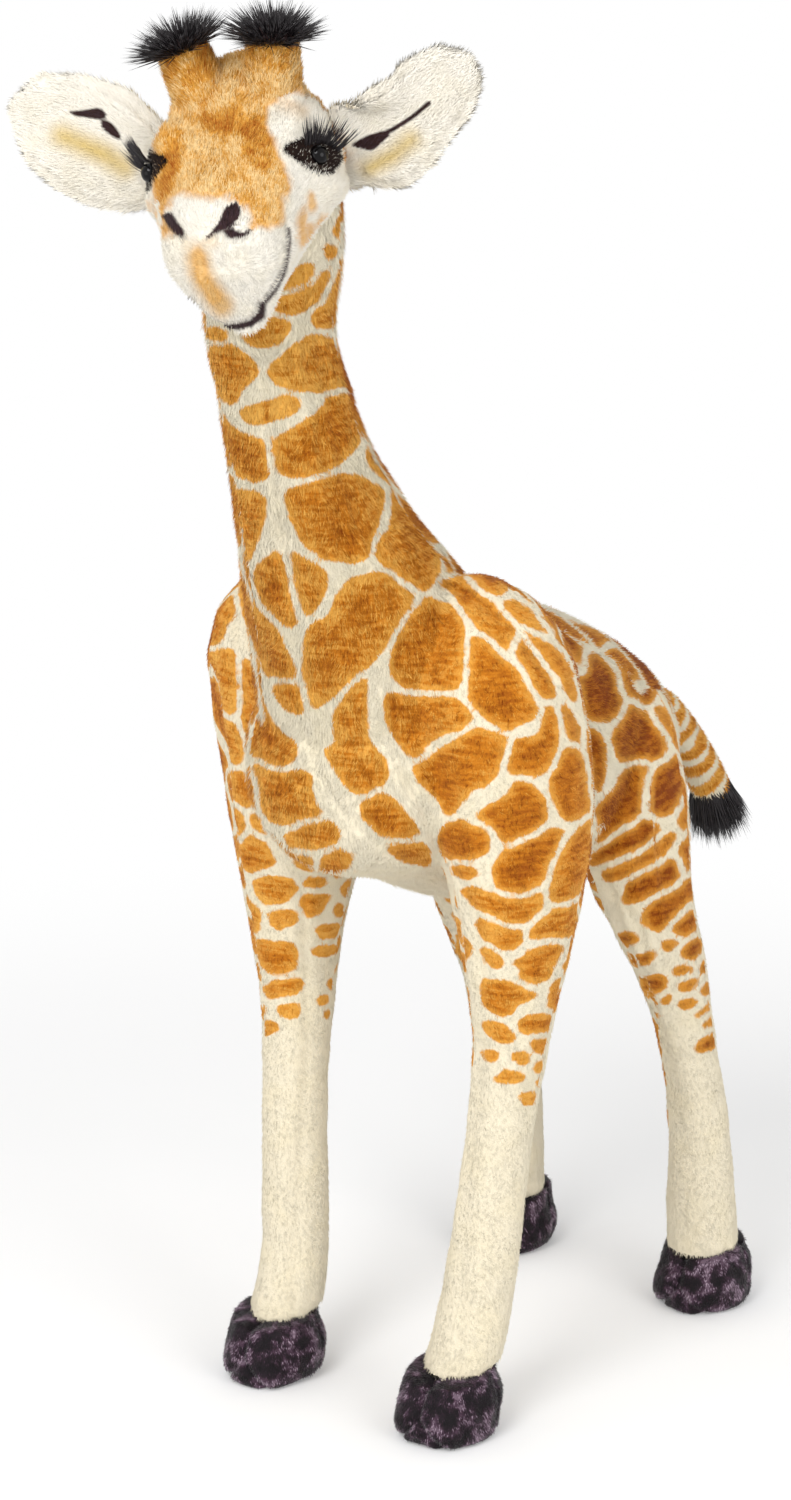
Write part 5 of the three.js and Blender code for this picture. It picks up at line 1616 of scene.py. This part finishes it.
# How high over the eye's middle their row is, how much its ends bend down, and how far out it is
LASH_LINE, LASH_ARCH, LASH_OUT = 0.0075, 0.003, 0.0026
bead = Finish("eye_bead", Roughness=0.08, Specular_IOR_Level=0.2)
bead_swirl = bead.noise(160, 2)
bead.feed(Base_Color=bead.mix(bead_swirl, linear("020202"), linear("0b0708")),
          Roughness=0.05 + 0.04 * bead_swirl)
black_plush = plush("black_plush", ink="0b090a", ink_light="1e1719")
for flank, side in (("left", 1), ("right", -1)):
    middle, way, up, along = head_side(side, EYE_PLACE, EYE_WAY, EYE_UP, EYE_ALONG)
    patch = linked(f"{flank}_eye_surround", head_skin.copy())
    spot = corners(patch)
    a, u, w = ((spot - middle) @ v for v in (along, up, way))
    half = np.where(u > 0, LID_HEIGHT, BAG_HEIGHT)
    narrowing = np.clip(np.abs(a) / EYE_HALF_LENGTH, 0, 1) ** LID_CURVE
    half = half * (1 - narrowing) + SURROUND_EDGE
    within = (np.abs(a) < EYE_HALF_LENGTH) & (np.abs(u) < half) & (np.abs(w) < SURROUND_REACH)
    quads = corner_numbers(head_skin.polygons, 4)
    spot = spot + along * (np.clip(a, -EYE_HALF_LENGTH, EYE_HALF_LENGTH) - a)[:, None]
    spot = spot + up * (np.clip(u, -half, half) - u)[:, None]
    kept = within[quads].any(1)
    used = np.zeros(len(spot), bool)
    used[quads[kept]] = True
    move_corners(patch, np.where(used[:, None], spot, corners(patch)))
    delete(patch, "FACE", ~kept)
    keep_largest(patch)
    with editing(patch):
        bpy.ops.mesh.subdivide(number_cuts=1, smoothness=1)
    modified(patch, "SOLIDIFY", thickness=SURROUND_THICK, offset=0.1)
    patch = piled(patch, black_plush, *SURROUND_PILE,
                  lambda p, n, m=middle, y=way: (p - m) - ((p - m) @ y)[:, None] * y,
                  lambda places, normals: coat_values(places, ink=9.0), seed=130 + side,
                  softness=0.4)
    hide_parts(f"{flank}_eye_patch")
    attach(patch, "head_group")

    deselect()
    bpy.ops.mesh.primitive_uv_sphere_add(segments=48, ring_count=32, radius=EYE_RADIUS)
    ball = bpy.context.object
    ball.name = f"{flank}_eye_ball"
    bpy.ops.object.shade_smooth()
    move_corners(ball, middle + corners(ball) @ np.array([along, up, way]))
    merge(ball)
    ball.data.materials.append(bead.material)
    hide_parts(f"{flank}_eye")
    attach(ball, "head_group")

    draw = np.random.default_rng(140)
    offset = draw.uniform(-1, 1, (LASHES, 1))
    roots = (middle + along * offset * LASH_SPREAD + up * (LASH_LINE - LASH_ARCH * offset ** 2)
             + way * LASH_OUT + draw.normal(0, 0.0005, (LASHES, 3)))
    ways = unit(way * 0.55 + up * 0.75 + along * offset * 0.75 + draw.normal(0, 0.1, (LASHES, 3)))
    size = draw.uniform(0.008, 0.018, LASHES)
    lashes = of_hairs(f"{flank}_lash_fringe", draw, roots, ways, np.tile(way, (LASHES, 1)), size,
                      0.00055, 0.0004, (up * 0.3 + along * offset * 0.1) * size[:, None], 4)
    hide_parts(f"{flank}_eyelashes")
    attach(lashes, "head_group")

bpy.data.meshes.remove(head_skin)

# ---------------------------------------------------------------- studio
# A plain pale floor and an even sky, large soft lamps, and the camera at the photograph's
# place, with its lens.
world = bpy.data.worlds.new("studio")
bpy.context.scene.world = world
SKY_LIGHT = 0.72  # how much of the white that the camera sees in the sky lights the calf
FLOOR_WASH = 0.16  # share of the floor that is plain white where the camera looks
sky = Finish(world, "Background", Color=(1, 1, 1, 1))
sky.feed(Strength=SKY_LIGHT + (1 - SKY_LIGHT) * sky.seen_directly())
FLOOR_DROP = 0.0004  # how far the floor is below the soles, so that they don't mix with it
deselect()
bpy.ops.mesh.primitive_plane_add(size=12, location=(0, 0, -FLOOR_DROP))
floor = bpy.context.object
floor.name = "floor"
paper = Finish("paper", Roughness=0.95, Specular_IOR_Level=0.1)
paper_grain = paper.noise(3, 2)
paper.feed(Base_Color=paper.mix(paper_grain, (0.93, 0.93, 0.93), (0.96, 0.96, 0.96)))
white = paper.node("ShaderNodeEmission", {}, {"Color": (1.0, 1.0, 1.0), "Strength": 1.0})
from_middle = paper.node(
    "ShaderNodeVectorMath", {"operation": "LENGTH"}, {0: paper.place()}, "Value")
plain = FLOOR_WASH + (1 - FLOOR_WASH) * from_middle.ramp(0.5, 1.3)
washed = paper.node("ShaderNodeMixShader", {}, {
    0: plain * paper.seen_directly(), 1: Value(paper, paper.shader.outputs[0]), 2: white})
paper.tree.links.new(washed.socket, paper.tree.nodes["Material Output"].inputs["Surface"])
floor.data.materials.append(paper.material)


def lamp(name, place, aim, size, watts):
    light = bpy.data.lights.new(name, "AREA")
    light.shape, light.size, light.energy = "DISK", size, watts
    made = linked(name, light)
    made.location = place
    made.rotation_euler = (Vector(aim) - Vector(place)).to_track_quat("-Z", "Y").to_euler()


lamp("key", (0.4, -2.6, 2.6), (0, 0, 0.45), size=1.6, watts=56)
lamp("low", (-0.7, -2.6, 0.6), (0, 0, 0.5), size=1.8, watts=9)
lamp("fill", (2.8, -0.6, 1.3), (0, 0, 0.45), size=2.0, watts=30)
camera = linked("camera", bpy.data.cameras.new("camera"))
bpy.context.scene.camera = camera
camera.location = lens_place
camera.rotation_euler = Vector(-back_way).to_track_quat("-Z", "Y").to_euler()
SENSOR = 36.0
camera.data.sensor_fit = "VERTICAL"
camera.data.sensor_height = SENSOR
camera.data.lens = PHOTO_FOCUS * SENSOR / PHOTO_SIZE[1]
bpy.context.scene.view_settings.view_transform = "Standard"
